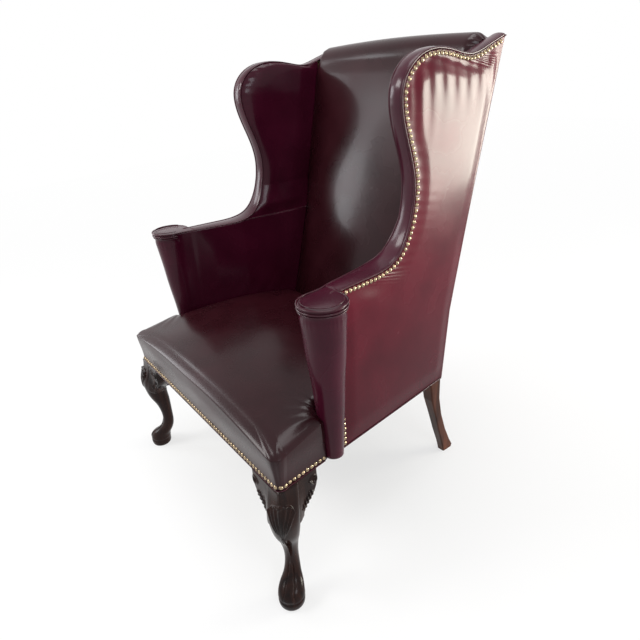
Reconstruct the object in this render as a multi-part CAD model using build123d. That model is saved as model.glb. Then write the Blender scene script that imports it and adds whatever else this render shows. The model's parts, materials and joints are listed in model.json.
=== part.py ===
from build123d import *
import os
from math import atan2, cos, hypot, radians, sin

# A leather wing armchair with a tight sprung seat, carved cabriole front legs
# and swept back legs. Millimetres, +Z up, +X to the right of someone who faces
# the chair, the chair faces -Y. Depths are measured back from the front of the
# seat rail, and the finished pieces are then centred over the floor.

os.makedirs("parts", exist_ok=True)

# Overall sizes
overall_height = 1150.0
rail_bottom = 312.0
seat_half_front = 388.0
seat_half_rear = 305.0
seat_depth = 576.0
back_knee_height = 505.0
back_knee_reach = 597.0
top_half_front = 373.3
top_half_rear = 322.3
back_reach = 742.0
wing_top_height = 1137.0
body_rise = overall_height - rail_bottom

# Leather, fits and overruns
leather = 2.0
fit = 0.3
overrun = 12.0
cover_gap = leather + fit
edge_clearance = 1.2

# Timber frame
rail_height = 74.0
rail_thickness = 26.0
leg_block = 50.0
side_timber = 22.0
frame_rail_width = 38.0
back_post_width = 42.0
edge_padding = 7.0
rail_top = rail_bottom + rail_height
tack_rail_height = 30.0
crest_rail_height = 52.0
lower_back_rail_height = 50.0
back_rail_thickness = 30.0

# Arms and wings
arm_top = 690.0
arm_width = 62.0
wing_thickness = 40.0
wing_root_height = 780.0
crease_depth = 193.0
scroll_depth = 154.0
scroll_reach = 375.0
scroll_radius = 50.0
post_foot_radius = 22.0
post_foot_reach = 362.0
post_foot_depth = 164.0
arm_foot_width = 56.0
wing_seam_height = 693.0
wing_rail_level = 1045.0
arm_rail_reach_share = 0.50
arm_region_share = 0.475

# Seat
seat_bulge = 8.0
seat_side_height = 396.0
seat_front_height = 402.0
seat_crown_height = 483.0
seat_roll = 36.0
seat_side_roll = 30.0
seat_crown_share = 0.46
seat_back_height = 446.0
seat_corner_radius = 15.0
seat_flat_height = 18.0
seat_stem_bottom = rail_top + 14.0

# Back
back_side_half = 300.0
back_tuck_height = rail_top + 16.0
back_panel_top = 1128.0
back_roll_radius = 45.0
back_side_drop = 8.0
back_roll_depth_share = 0.949

# Trim
nail_head = 10.6
nail_head_rise = 3.0
nail_pitch = 12.52
nail_line_height = 8.7
nail_corner_offset = 21.6
nail_lift = 0.05
crease_nail_top = 384.0
welt_width = 5.0
welt_rise = 6.0
scroll_welt = 4.4
scroll_ring_turn = 222.0
inner_welt_width = 3.4
inner_welt_reach_share = 0.86
bottom_welt_width = 3.2

# Legs
pad_radius = 33.5
bracket_reach = 107.0
bracket_drop = 98.0
bracket_thickness = 34.0
hip_overhang = 3.0
rear_leg_width = 38.0
rear_foot_reach = 656.0
rear_leg_outside = 300.0
rear_leg_toe_in = 0.07
rear_leg_rounding = 4.0
seat_slope = 2.4

# Inside the seat
web_width = 48.0
web_thickness = 1.8
web_count = 5
spring_wire = 3.6
spring_radius = 34.0
spring_turns = 4
hessian_thickness = 1.6
hessian_height = rail_top + 12.0
dust_cover_thickness = 1.4
dowel_diameter = 10.0
dowel_length = 56.0
dowel_spacing = 34.0
dowel_clearance = 0.1
screw_diameter = 4.5
screw_head = 9.0
screw_length = 44.0
corner_block_leg = 62.0
corner_block_height = 44.0

# Outline of arm and wing from the side: shares of back_reach and body_rise
wing_outline_shares = [
    (0.260, 0.4510), (0.392, 0.4530), (0.468, 0.4570), (0.522, 0.4740), (0.562, 0.5160),
    (0.591, 0.5880), (0.596, 0.6560), (0.572, 0.7410), (0.544, 0.8270), (0.547, 0.8870),
    (0.594, 0.9390), (0.676, 0.9620), (0.769, 0.9530), (0.841, 0.9440), (0.919, 0.9610),
    (1.000, 0.9845),
]
# Thickness of arm and wing at four depths: shares of arm_width and wing_thickness
depth_station_shares = (0.260, 0.465, 0.755, 1.080)
arm_foot_shares = (0.50, 0.95, 0.90, 0.78)
arm_width_shares = (0.73, 1.0, 0.84, 0.70)
wing_width_shares = (1.0, 1.0, 1.0, 0.95)

# Front leg: height as a share of rail_bottom, outward step and radius as shares of pad_radius
leg_shares = [
    (-0.013, 0.09, 0.87), (0.006, 0.09, 0.97), (0.038, 0.09, 1.00), (0.080, 0.015, 0.97),
    (0.119, -0.09, 0.91), (0.151, -0.33, 0.81), (0.192, -0.72, 0.64), (0.240, -0.985, 0.54),
    (0.304, -1.12, 0.487), (0.381, -1.12, 0.493), (0.442, -1.06, 0.552), (0.500, -0.955, 0.642),
    (0.551, -0.806, 0.761), (0.609, -0.612, 0.875), (0.673, -0.522, 0.985), (0.737, -0.433, 1.03),
    (0.800, -0.388, 1.03), (0.860, -0.41, 0.985), (0.930, -0.56, 0.93), (1.000, -0.80, 0.90),
]
# Knee bracket: shares of bracket_reach and bracket_drop, from the corner and the rail down
bracket_shares = [
    (0.30, 0.00), (1.00, 0.00), (1.00, 0.24), (0.99, 0.37), (0.935, 0.51), (0.82, 0.66),
    (0.67, 0.80), (0.57, 0.92), (0.54, 1.00), (0.42, 0.97), (0.40, 0.80), (0.30, 0.62),
]
# Rear leg: height as a share of rail_bottom, front and back edges as shares of rear_foot_reach,
# width as a share of rear_leg_width
rear_leg_shares = [
    (1.000, 0.822, 0.883, 1.00), (0.760, 0.843, 0.889, 0.92), (0.560, 0.8735, 0.910, 0.82),
    (0.360, 0.9025, 0.9435, 0.74), (0.190, 0.930, 0.980, 0.66), (0.115, 0.9405, 1.000, 0.64),
    (0.070, 0.945, 0.994, 0.63),
]
# Inside back: front face as shares of back_reach at shares of overall_height
back_middle_shares = ((0.613, 0.346), (0.742, 0.660))
back_side_shares = ((0.655, 0.346), (0.780, 0.644))


def level_of(z):
    """Height above the rail bottom as a share of the upholstered body."""
    return (z - rail_bottom) / body_rise


def outer_half(y, z):
    """Half width of the upholstered body at a depth and a height."""
    low = seat_half_front + (seat_half_rear - seat_half_front) * y / seat_depth
    high = top_half_front + (top_half_rear - top_half_front) * y / back_reach
    return low + (high - low) * level_of(z)


def rear_edge(z):
    """Depth of the back edge: steep up to the knee of the back, then raked."""
    lower_lean = (back_knee_reach - seat_depth) / (back_knee_height - rail_bottom)
    upper_lean = (back_reach - back_knee_reach) / (wing_top_height - back_knee_height)
    if z < back_knee_height:
        return back_knee_reach - lower_lean * (back_knee_height - z)
    return back_knee_reach + upper_lean * (z - back_knee_height)


def plan(points, z):
    """A flat face at height z through plan points."""
    return Pos(0, 0, z) * make_face(Polyline(*points, close=True))


def side_face(edges):
    """A flat face in the side view from edges drawn as depth and height."""
    return Plane.YZ * make_face(edges)


def through(face, width):
    """A side view face carried right through the chair, half to each side."""
    return extrude(face, amount=width, both=True)


def box_between(low, high):
    """A block from its lowest corner to its highest corner."""
    size = [b - a for a, b in zip(low, high)]
    middle = [(a + b) / 2 for a, b in zip(low, high)]
    return Pos(*middle) * Box(*size)


span = 2 * seat_half_front
right_half = box_between((0, -span, 0), (span, 2 * span, 2 * overall_height))


def hull(inset):
    """The body between its two flat outer sides, drawn in by inset."""
    near = -overrun * 4
    far = back_reach + overrun * 2
    sections = []
    for z in (rail_bottom - overrun, overall_height + overrun):
        front = outer_half(near, z) - inset
        rear = outer_half(far, z) - inset
        sections.append(plan([(-front, near), (front, near), (rear, far), (-rear, far)], z))
    return loft(sections, ruled=True)


def inner_half(share_index, z, thickness):
    """Half width between arms or wings at one of the depth stations."""
    y = depth_station_shares[share_index] * back_reach
    return outer_half(y, z) - thickness


def core(margin):
    """The sitter's space between arms and wings, widened by margin."""
    levels = (
        (rail_bottom - overrun, arm_foot_width, arm_foot_shares),
        (arm_top, arm_width, arm_width_shares),
        (wing_root_height, wing_thickness, wing_width_shares),
        (overall_height + overrun, wing_thickness, wing_width_shares),
    )
    depths = [share * back_reach for share in depth_station_shares]
    sections = []
    for z, width, shares in levels:
        halves = [inner_half(i, z, width * shares[i]) + margin for i in range(len(shares))]
        first = halves[0] + (halves[0] - halves[1]) * (depths[0] + overrun) / (depths[1] - depths[0])
        right = [(first, -overrun)] + list(zip(halves, depths))
        left = [(-x, y) for x, y in reversed(right)]
        sections.append(plan(right + left, z))
    return loft(sections, ruled=True)


def drawn_in(points, inset):
    """Outline points moved inwards, square to the line through their neighbours."""
    moved = []
    for i, (y, z) in enumerate(points):
        before = points[max(i - 1, 0)]
        after = points[min(i + 1, len(points) - 1)]
        run = hypot(after[0] - before[0], after[1] - before[1])
        moved.append((y + inset * (after[1] - before[1]) / run, z - inset * (after[0] - before[0]) / run))
    return moved


wing_points = [(y * back_reach, rail_bottom + z * body_rise) for y, z in wing_outline_shares]


def wing_profile(inset, rear_inset, front=scroll_depth, bottom=rail_bottom):
    """Side view of arm and wing: curved top edge, raked back edge, upright front."""
    top = drawn_in(wing_points, inset)
    knee = (back_knee_reach - rear_inset, back_knee_height)
    foot = (rear_edge(bottom) - rear_inset, bottom)
    crown = (back_reach - rear_inset, top[-1][1])
    tip = (front, arm_top - inset)
    outline = Spline(tip, *top[1:-1], crown) + Polyline(crown, knee, foot, (front, bottom), tip)
    return through(side_face(outline), span)


def layer(outer, inner):
    """The right-hand slice of the body between two insets from its flat side."""
    return (hull(outer) - hull(inner)) & right_half


def post(inset, top=arm_top, bottom=rail_bottom):
    """The upright cone at the front of the right arm, drawn in by inset."""
    rise = arm_top - rail_bottom
    sections = []
    for z in (bottom, top):
        share = (z - rail_bottom) / rise
        radius = post_foot_radius + (scroll_radius - post_foot_radius) * share - inset
        reach = post_foot_reach + (scroll_reach - post_foot_reach) * share
        depth = post_foot_depth + (scroll_depth - post_foot_depth) * share
        sections.append(Pos(reach, depth, z) * Circle(radius))
    return loft(sections, ruled=True)


pieces = {}


def mirrored(name, shape):
    """Files the right-hand piece and its mirror image."""
    pieces["right_" + name] = shape
    pieces["left_" + name] = mirror(shape, about=Plane.YZ)


def facing(point, direction):
    """A place on a surface, its own z pointing along direction."""
    return Plane(origin=point, z_dir=direction)


# Front legs and their knee brackets
corner_outward = Vector(1, -1, 0).normalized()
seat_corner = Vector(seat_half_front, 0, 0)
side_angle = atan2(seat_half_front - seat_half_rear, seat_depth)
along_side = Vector(-sin(side_angle), cos(side_angle), 0)
out_of_side = Vector(cos(side_angle), sin(side_angle), 0)


def turned_leg(grow=0):
    """Cabriole leg below the rail: a loft of circles that steps out and in."""
    sections = []
    for height_share, step_share, radius_share in leg_shares:
        place = seat_corner + corner_outward * (step_share * pad_radius)
        radius = radius_share * pad_radius + grow
        sections.append(Pos(place.X, place.Y, height_share * rail_bottom) * Circle(radius))
    return loft(sections)


front_corner = box_between(
    (seat_half_front - leg_block, cover_gap, rail_bottom), (span, cover_gap + leg_block, rail_top)
)
front_leg = turned_leg() + (hull(cover_gap) & front_corner)

# Scroll-ended ears, drawn from the corner along the rail and sawn from one board
outline = [(reach * bracket_reach, -drop * bracket_drop) for reach, drop in bracket_shares]
side_plane = Plane(
    origin=seat_corner + Vector(0, 0, rail_bottom) + out_of_side * hip_overhang,
    x_dir=along_side,
    z_dir=out_of_side,
)
front_plane = Plane(
    origin=seat_corner + Vector(0, -hip_overhang, rail_bottom), x_dir=(1, 0, 0), z_dir=(0, -1, 0)
)
side_ear = extrude(side_plane * make_face(Polyline(*outline, close=True)), amount=-bracket_thickness)
front_outline = [(-reach, drop) for reach, drop in outline]
front_ear = extrude(front_plane * make_face(Polyline(*front_outline, close=True)), amount=-bracket_thickness)

room = turned_leg(fit)
mirrored("front_leg", front_leg)
mirrored("front_knee_bracket", front_ear - room)
mirrored("side_knee_bracket", side_ear - room)


# Rear legs
def rear_leg():
    """Swept back leg: straight-sided runs between rounded rectangles that taper, then flare."""
    sections = []
    for height_share, front_share, rear_share, width_share in rear_leg_shares:
        z = height_share * rail_bottom
        width = width_share * rear_leg_width
        outside = rear_leg_outside - rear_leg_toe_in * (rail_bottom - z)
        depth = (rear_share - front_share) * rear_foot_reach
        middle = (rear_share + front_share) / 2 * rear_foot_reach
        sections.append(Pos(outside - width / 2, middle, z) * RectangleRounded(width, depth, rear_leg_rounding))
    block = box_between(
        (seat_half_rear - leg_block, rear_edge(rail_bottom) - cover_gap - leg_block, rail_bottom),
        (span, rear_edge(rail_bottom) - cover_gap, rail_top),
    )
    return loft(sections, ruled=True) + (hull(cover_gap) & block)


mirrored("rear_leg", rear_leg())

# Seat rails between the leg blocks, with dowels in their ends
rail_rear = rear_edge(rail_bottom) - cover_gap
front_block_end = cover_gap + leg_block
rear_block_start = rail_rear - leg_block
front_rail_half = seat_half_front - leg_block
rear_rail_half = seat_half_rear - leg_block
front_rail = box_between(
    (-front_rail_half, cover_gap, rail_bottom), (front_rail_half, cover_gap + rail_thickness, rail_top)
)
rear_rail = box_between(
    (-rear_rail_half, rail_rear - rail_thickness, rail_bottom), (rear_rail_half, rail_rear, rail_top)
)
side_rail = layer(cover_gap, cover_gap + rail_thickness) & box_between(
    (0, front_block_end, rail_bottom), (span, rear_block_start, rail_top)
)


def dowel_at(point, direction, grow=0):
    """A glued dowel centred on a joint."""
    pin = Cylinder(dowel_diameter / 2 + grow, dowel_length + 2 * grow)
    return facing(point, direction).location * pin


dowel_places = []
rail_middle = (rail_bottom + rail_top) / 2
half_rail = cover_gap + rail_thickness / 2
for step in (-dowel_spacing / 2, dowel_spacing / 2):
    z = rail_middle + step
    dowel_places.append(((front_rail_half, half_rail, z), (1, 0, 0)))
    dowel_places.append(((rear_rail_half, rail_rear - rail_thickness / 2, z), (1, 0, 0)))
    for y in (front_block_end, rear_block_start):
        dowel_places.append(((outer_half(y, z) - half_rail, y, z), tuple(along_side)))
pins = [dowel_at(point, direction) for point, direction in dowel_places]
bores = [dowel_at(point, direction, dowel_clearance) for point, direction in dowel_places]
both_bores = bores + [mirror(bore, about=Plane.YZ) for bore in bores]
for side in ("right", "left"):
    for name in ("front_leg", "rear_leg"):
        pieces[side + "_" + name] -= both_bores
front_rail -= both_bores
rear_rail -= both_bores
side_rail -= bores
pieces["front_seat_rail"] = front_rail
pieces["rear_seat_rail"] = rear_rail
mirrored("side_seat_rail", side_rail)


# Corner blocks, each held by two screws
def screw(point, direction, grow=0):
    """Countersunk wood screw: head at the point, shank along direction."""
    shank = Pos(0, 0, screw_length / 2) * Cylinder(screw_diameter / 2 + grow, screw_length + 2 * grow)
    head = Pos(0, 0, screw_diameter / 4) * Cylinder(screw_head / 2 + grow, screw_diameter / 2 + 2 * grow)
    return facing(point, direction).location * (shank + head)


def screw_pocket(point, direction):
    """The clear space in front of a screw head."""
    pocket = Cylinder(screw_head / 2 + fit, corner_block_leg, align=(Align.CENTER, Align.CENTER, Align.MAX))
    return facing(point, direction).location * pocket


def corner_block(rail_face, block_inside, block_end, away):
    """A block glued across a corner, between the end rail, the leg and the side rail."""
    first = (block_inside - corner_block_leg, rail_face)
    last_y = block_end + away * corner_block_leg
    along_side_rail = [(outer_half(y, rail_middle) - cover_gap - rail_thickness - 4 * fit, y)
                       for y in (block_end, last_y)]
    points = [first, (block_inside, rail_face), (block_inside, block_end), *along_side_rail]
    solid = extrude(plan(points, rail_top - fit - corner_block_height), amount=corner_block_height)
    z = rail_middle
    middle_x = block_inside - corner_block_leg / 3
    middle_y = block_end + away * corner_block_leg / 3
    side_x = outer_half(middle_y, z) - cover_gap - rail_thickness
    into_end = ((middle_x, rail_face + away * screw_length / 2, z), (0, -away, 0))
    into_side = ((side_x - screw_length / 2, middle_y - away * corner_block_leg / 8, z), tuple(out_of_side))
    return solid, [into_end, into_side]


front_block, front_screws = corner_block(cover_gap + rail_thickness, front_rail_half, front_block_end, 1)
rear_block, rear_screws = corner_block(rail_rear - rail_thickness, rear_rail_half, rear_block_start, -1)
screw_places = front_screws + rear_screws
screw_holes = [screw(*place, dowel_clearance) for place in screw_places]
screw_holes += [mirror(hole, about=Plane.YZ) for hole in screw_holes]
pockets = [screw_pocket(*place) for place in screw_places]
blocks = [block - screw_holes - pockets for block in (front_block, rear_block)]
blocks += [mirror(block, about=Plane.YZ) for block in blocks]
pieces["corner_blocks"] = Compound(children=blocks)
screws = [screw(*place) for place in screw_places]
screws += [mirror(one, about=Plane.YZ) for one in screws]
pieces["corner_block_screws"] = Compound(children=screws)
pieces["frame_dowels"] = Compound(children=pins + [mirror(pin, about=Plane.YZ) for pin in pins])
for name in ("front_seat_rail", "rear_seat_rail", "right_side_seat_rail", "left_side_seat_rail"):
    pieces[name] -= screw_holes


# Posts, arm rails and wing timbers
def timber(inset=0):
    return layer(cover_gap - inset, cover_gap + side_timber + inset)


def strip_along_edge(near, far, rear=cover_gap):
    """A band that follows the curved top edge, between two insets from it."""
    return wing_profile(near, rear) - wing_profile(far, 0, bottom=rail_bottom - overrun)


stump_inset = cover_gap + edge_padding
stump_top = arm_top - leather - edge_padding
arm_rail_top = stump_top
arm_rail_bottom = arm_rail_top - frame_rail_width
back_post_front = back_post_width + cover_gap
stump = post(stump_inset, top=stump_top, bottom=rail_top)


def rear_band(front_inset, rear_inset, low, high):
    """Side view strip that follows the back edge between two heights."""
    outline = []
    for inset in (front_inset, rear_inset):
        levels = [low, back_knee_height, high]
        outline.append([(rear_edge(z) - inset, z) for z in levels if low <= z <= high])
    return through(side_face(Polyline(*outline[0], *reversed(outline[1]), close=True)), span)


back_post = timber() & rear_band(back_post_front, cover_gap, rail_top, overall_height) & wing_profile(
    leather + edge_padding, 0
)
clear_of_back_post = rear_band(back_post_front, -span, rail_bottom - span, overall_height + span)
arm_rail = (
    timber() & box_between((0, scroll_depth, arm_rail_bottom), (span, span, arm_rail_top))
) - post(stump_inset - fit) - clear_of_back_post
tack_rail = (
    timber() & box_between((0, scroll_depth, seat_stem_bottom), (span, span, seat_stem_bottom + tack_rail_height))
) - post(stump_inset - fit) - clear_of_back_post
edge_timber = (timber() & strip_along_edge(leather + edge_padding, leather + edge_padding + frame_rail_width)) - (
    box_between((0, 0, 0), (span, span, arm_rail_top))
) - clear_of_back_post
wing_post_front = arm_rail_reach_share * back_reach
wing_post = edge_timber & box_between((0, wing_post_front, 0), (span, span, wing_rail_level))
wing_top_rail = edge_timber & box_between((0, wing_post_front, wing_rail_level), (span, span, 2 * overall_height))

# Back frame
post_gap = cover_gap + side_timber + fit
rail_front = cover_gap + back_rail_thickness
crest_top = back_panel_top - leather - edge_padding / 2
crest_rail = rear_band(rail_front, cover_gap, crest_top - crest_rail_height, crest_top) & hull(post_gap)
lower_back_rail = rear_band(
    rail_front, cover_gap, seat_crown_height - lower_back_rail_height, seat_crown_height
) & hull(post_gap)

# Covers of the sides
right_post_clear = post(-fit)
behind_scroll = box_between((0, scroll_depth, 0), (span, span, 2 * overall_height))
inner_rear = rail_front + 2 * web_thickness + fit
outside_cover = (layer(0, leather) & wing_profile(welt_rise + edge_clearance, 0)) - right_post_clear
scroll_cap = post(0, bottom=arm_top - leather)
edge_band = (
    (hull(welt_width + fit) - core(0)) & right_half & strip_along_edge(0, leather)
) + scroll_cap
inner_sheet = (core(leather) - core(0)) & right_half & wing_profile(
    leather + edge_clearance, inner_rear, front=scroll_depth - edge_padding, bottom=seat_stem_bottom
)
wing_region = box_between(
    (0, arm_region_share * back_reach, wing_seam_height), (span, span, 2 * overall_height)
)
inside_wing_cover = inner_sheet & wing_region
below_rails = box_between((-span, -span, 0), (span, span, rail_top + fit))
rail_zone = hull(leather) & below_rails
post_shell = (
    post(0, top=arm_top - leather - fit)
    - post(leather, top=arm_top, bottom=rail_bottom - overrun)
    - (hull(0) & behind_scroll)
    - rail_zone
)
inside_arm_cover = (inner_sheet - wing_region) + post_shell

# Stuffing of arms, wings and scrolls
padding_slab = (hull(welt_width + fit) - core(cover_gap)) & right_half & wing_profile(
    leather + edge_clearance, inner_rear, bottom=seat_stem_bottom
)
timber_zone = layer(0, post_gap) & wing_profile(leather + edge_padding - edge_clearance, 0)
stump_room = post(stump_inset - fit, top=stump_top + fit)
side_padding = padding_slab - timber_zone - stump_room
wing_padding = side_padding & wing_region
scroll_padding = post(cover_gap, top=arm_top - cover_gap) - stump_room - (hull(0) & behind_scroll) - rail_zone
arm_padding = (side_padding - wing_region) + scroll_padding - edge_band
side_timbers = {
    "arm_post": stump,
    "arm_rail": arm_rail,
    "arm_tack_rail": tack_rail,
    "wing_post": wing_post,
    "wing_top_rail": wing_top_rail,
    "back_post": back_post,
}

# Inside back: sections across the chair, each with a raked face, a roll and a back edge
def back_section(x, shares, drop, inset, rear_inset, low):
    """One upright slice: arc face, arc roll over the top, then down the back edge."""
    roll_depth = back_roll_depth_share * back_reach
    roll_height = overall_height - back_roll_radius - drop
    radius = back_roll_radius - inset
    depths = [depth * back_reach + inset for depth, height in shares]
    heights = [height * overall_height for depth, height in shares]
    lean = (depths[1] - depths[0]) / (heights[1] - heights[0])
    foot = (depths[0] + lean * (low - heights[0]), low)
    roll_start = (roll_depth - radius, roll_height)
    roll_middle = (roll_depth - radius * sin(radians(35)), roll_height + radius * cos(radians(35)))
    end_angle = radians(32)
    roll_end = (roll_depth + radius * cos(end_angle), roll_height + radius * sin(end_angle))
    rear_top = (rear_edge(roll_end[1]) - rear_inset, roll_end[1])
    knee = (rear_edge(back_knee_height) - rear_inset, back_knee_height)
    rear_foot = (rear_edge(low) - rear_inset, low)
    face_edge = ThreePointArc(foot, (depths[1], heights[1]), roll_start)
    roll_edge = ThreePointArc(roll_start, roll_middle, roll_end)
    rest = Polyline(roll_end, rear_top, knee, rear_foot, foot)
    return Pos(x, 0, 0) * side_face(face_edge + roll_edge + rest)


def back_form(inset, rear_inset, low=back_tuck_height):
    """The stuffed back: a loft through three upright slices."""
    side = (back_side_shares, back_side_drop, inset, rear_inset, low)
    middle = (back_middle_shares, 0, inset, rear_inset, low)
    sections = [back_section(-back_side_half, *side), back_section(0, *middle), back_section(back_side_half, *side)]
    return loft(sections)


between_sides = core(-fit)
back_cover = (back_form(0, cover_gap) - back_form(leather, -overrun, low=rail_bottom)) & between_sides
back_frame_zone = rear_band(inner_rear + fit, -span, rail_bottom - overrun, crest_top + fit)
back_padding = (back_form(cover_gap, cover_gap) - back_frame_zone) & between_sides
outside_back = rear_band(leather, 0, rail_bottom, back_panel_top) & hull(cover_gap)


# Seat: a T-shaped crowned block between the arms
def seat_front_block(inset, bottom, rear):
    """The front of the T: upright sides at the rail, swelling to the full stuffed width."""
    sections = []
    swell = (0, 0, seat_bulge, seat_bulge)
    levels = (bottom, rail_bottom + seat_flat_height, seat_front_height - edge_padding, seat_crown_height + overrun)
    for bulge, z in zip(swell, levels):
        front_half = seat_half_front + bulge - inset
        rear_half = outer_half(rear, rail_bottom) + bulge - inset
        face = plan(
            [(-front_half, inset - bulge), (front_half, inset - bulge), (rear_half, rear), (-rear_half, rear)], z
        )
        front_corners = face.vertices().sort_by(Axis.Y)[0:2]
        sections.append(fillet(front_corners, seat_corner_radius - inset))
    return loft(sections, ruled=True)


def seat_crown_side(inset):
    """Side view of the crown: rolled front edge, then a long shallow arc to the back."""
    front = -seat_bulge + inset
    low = rail_bottom - 2 * overrun
    roll = seat_roll - inset
    ridge = (front + roll, seat_front_height + roll)
    corner = (front + roll * (1 - sin(radians(45))), seat_front_height + roll * sin(radians(45)))
    start = (front, seat_front_height)
    crest = (seat_crown_share * seat_depth, seat_crown_height - inset)
    tuck = (seat_depth, seat_back_height - inset)
    edges = ThreePointArc(start, corner, ridge) + ThreePointArc(ridge, crest, tuck)
    rest = Polyline(tuck, (tuck[0], low), (front, low), start)
    return through(side_face(edges + rest), span)


def seat_crown_front(inset):
    """Front view of the crown: rolled sides and a shallow arc across."""
    half = seat_half_front + seat_bulge - inset
    low = rail_bottom - 2 * overrun
    roll = seat_side_roll - inset
    start = (half, seat_side_height)
    corner = (half - roll * (1 - sin(radians(45))), seat_side_height + roll * sin(radians(45)))
    ridge = (half - roll, seat_side_height + roll)
    mirror_of = [(-x, z) for x, z in (ridge, corner, start)]
    crest = (0, seat_crown_height - inset)
    edges = ThreePointArc(start, corner, ridge) + ThreePointArc(ridge, crest, mirror_of[0])
    edges += ThreePointArc(*mirror_of)
    rest = Polyline(mirror_of[2], (-half, low), (half, low), start)
    face = Plane.XZ * make_face(edges + rest)
    return extrude(face, amount=span, both=True)


def seat_form(inset, bottom, stem_bottom, rear):
    """The whole stuffed seat, drawn in by inset."""
    stem = core(-fit - inset) & box_between(
        (-span, rear - seat_bulge, stem_bottom), (span, seat_depth, seat_crown_height + overrun)
    )
    block = seat_front_block(inset, bottom, rear)
    return (block + stem) & seat_crown_side(inset) & seat_crown_front(inset)


both_posts = [right_post_clear, mirror(right_post_clear, about=Plane.YZ)]
arm_start = scroll_depth - edge_padding - fit
both_scroll_sides = hull(0) & box_between((-span, arm_start, 0), (span, span, 2 * overall_height))
beside_stem = both_scroll_sides - core(-fit)
back_clear = back_form(-fit, -overrun, low=rail_bottom)
seat_rear = scroll_depth - leather
seat_outer = seat_form(0, rail_bottom, seat_stem_bottom, seat_rear)
seat_inner = seat_form(leather, rail_bottom - overrun, rail_bottom - overrun, seat_rear + seat_bulge)
seat_cover = seat_outer - seat_inner - both_posts - beside_stem - back_clear
stuffing = seat_form(cover_gap, rail_bottom, rail_bottom, seat_rear) - below_rails
stuffing = stuffing - both_posts - beside_stem - back_clear
hessian_zone = core(0) & box_between((-span, -span, 0), (span, span, hessian_height + hessian_thickness))
seat_padding = stuffing - hessian_zone
hessian = (core(-fit - leather) - both_posts) & box_between(
    (-span, front_block_end / 2, hessian_height), (span, rear_block_start, hessian_height + hessian_thickness)
)


# Webbing, springs and dust cover
def web_places(reach):
    """Evenly spaced strip centres, from minus reach to plus reach."""
    return [reach * (2 * i / (web_count - 1) - 1) for i in range(web_count)]


web_top = rail_bottom
web_middle = rail_bottom - web_thickness
web_low = rail_bottom - 2 * web_thickness
web_front = cover_gap + rail_thickness / 2
web_back = rail_rear - rail_thickness / 2
spring_spacing = seat_half_rear / 2
spring_middle = (front_block_end + rear_block_start) / 2
strips = []
for x in web_places(spring_spacing):
    low = (x - web_width / 2, web_front, web_middle)
    strips.append(box_between(low, (x + web_width / 2, web_back, web_top)))
for y in web_places(spring_spacing):
    middle = spring_middle + y
    half = outer_half(middle + web_width, rail_bottom) - cover_gap - rail_thickness / 2
    low = (-half, middle - web_width / 2, web_low)
    strips.append(box_between(low, (half, middle + web_width / 2, web_middle)))
pieces["seat_webbing"] = Compound(children=strips)
pieces["seat_hessian"] = hessian


coil_height = hessian_height - rail_bottom - spring_wire
coil_path = Pos(0, 0, rail_bottom + spring_wire / 2) * Helix(coil_height / spring_turns, coil_height, spring_radius)
coil_radius = spring_wire / 2 - fit


def coil_spring():
    """An upright coil: one round wire wound on a helix."""
    section = Plane(origin=coil_path @ 0, z_dir=coil_path % 0) * Circle(coil_radius)
    return sweep(section, path=coil_path, is_frenet=True)


def least_coil_gap():
    """Least clear distance between turns, from points at least half a turn apart on the wire."""
    turn_points = 4 * web_count
    count = turn_points * spring_turns
    points = [coil_path @ (i / count) for i in range(count + 1)]
    apart = turn_points // 2
    spans = [(points[j] - points[i]).length for i in range(count) for j in range(i + apart, count + 1)]
    return min(spans) - 2 * coil_radius


coil = coil_spring()
springs = [
    Pos(column * spring_spacing, spring_middle + row * spring_spacing, 0) * coil
    for row in (-1, 0, 1)
    for column in (-1, 0, 1)
]
pieces["seat_springs"] = Compound(children=springs)

dust_top = web_low
dust_side_start = front_block_end + bracket_reach / 2
dust_half_front = outer_half(dust_side_start, rail_bottom) - bracket_thickness - 2 * edge_padding
dust_half_rear = rear_rail_half
dust_front = cover_gap + bracket_thickness
pieces["dust_cover"] = extrude(
    plan(
        [
            (-front_rail_half + bracket_reach / 2, dust_front),
            (front_rail_half - bracket_reach / 2, dust_front),
            (dust_half_front, dust_side_start),
            (dust_half_rear, web_back),
            (-dust_half_rear, web_back),
            (-dust_half_front, dust_side_start),
        ],
        dust_top - dust_cover_thickness,
    ),
    amount=dust_cover_thickness,
)

# Webbing of the back: upright strips, then level strips in front of them
back_strips = []
for i in (-1, 0, 1):
    x = i * spring_spacing
    band = rear_band(rail_front + web_thickness, rail_front, seat_crown_height - lower_back_rail_height, crest_top)
    back_strips.append(
        band & box_between((x - web_width / 2, 0, 0), (x + web_width / 2, span, 2 * overall_height))
    )
back_open_rise = crest_top - crest_rail_height - seat_crown_height
for i in range(web_count):
    low = seat_crown_height + back_open_rise * (i + 1) / (web_count + 1) - web_width / 2
    band = rear_band(rail_front + 2 * web_thickness, rail_front + web_thickness, low, low + web_width)
    back_strips.append(band & hull(post_gap))
pieces["back_webbing"] = Compound(children=back_strips)

# Welts
outer_welt = (layer(0, welt_width) & (wing_profile(0, 0) - wing_profile(welt_rise, 0))) - right_post_clear
inner_welt = ((core(0) - core(-inner_welt_width)) & right_half & strip_along_edge(0, inner_welt_width))
inner_welt = inner_welt & box_between((0, 0, 0), (span, inner_welt_reach_share * back_reach, 2 * overall_height))


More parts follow.
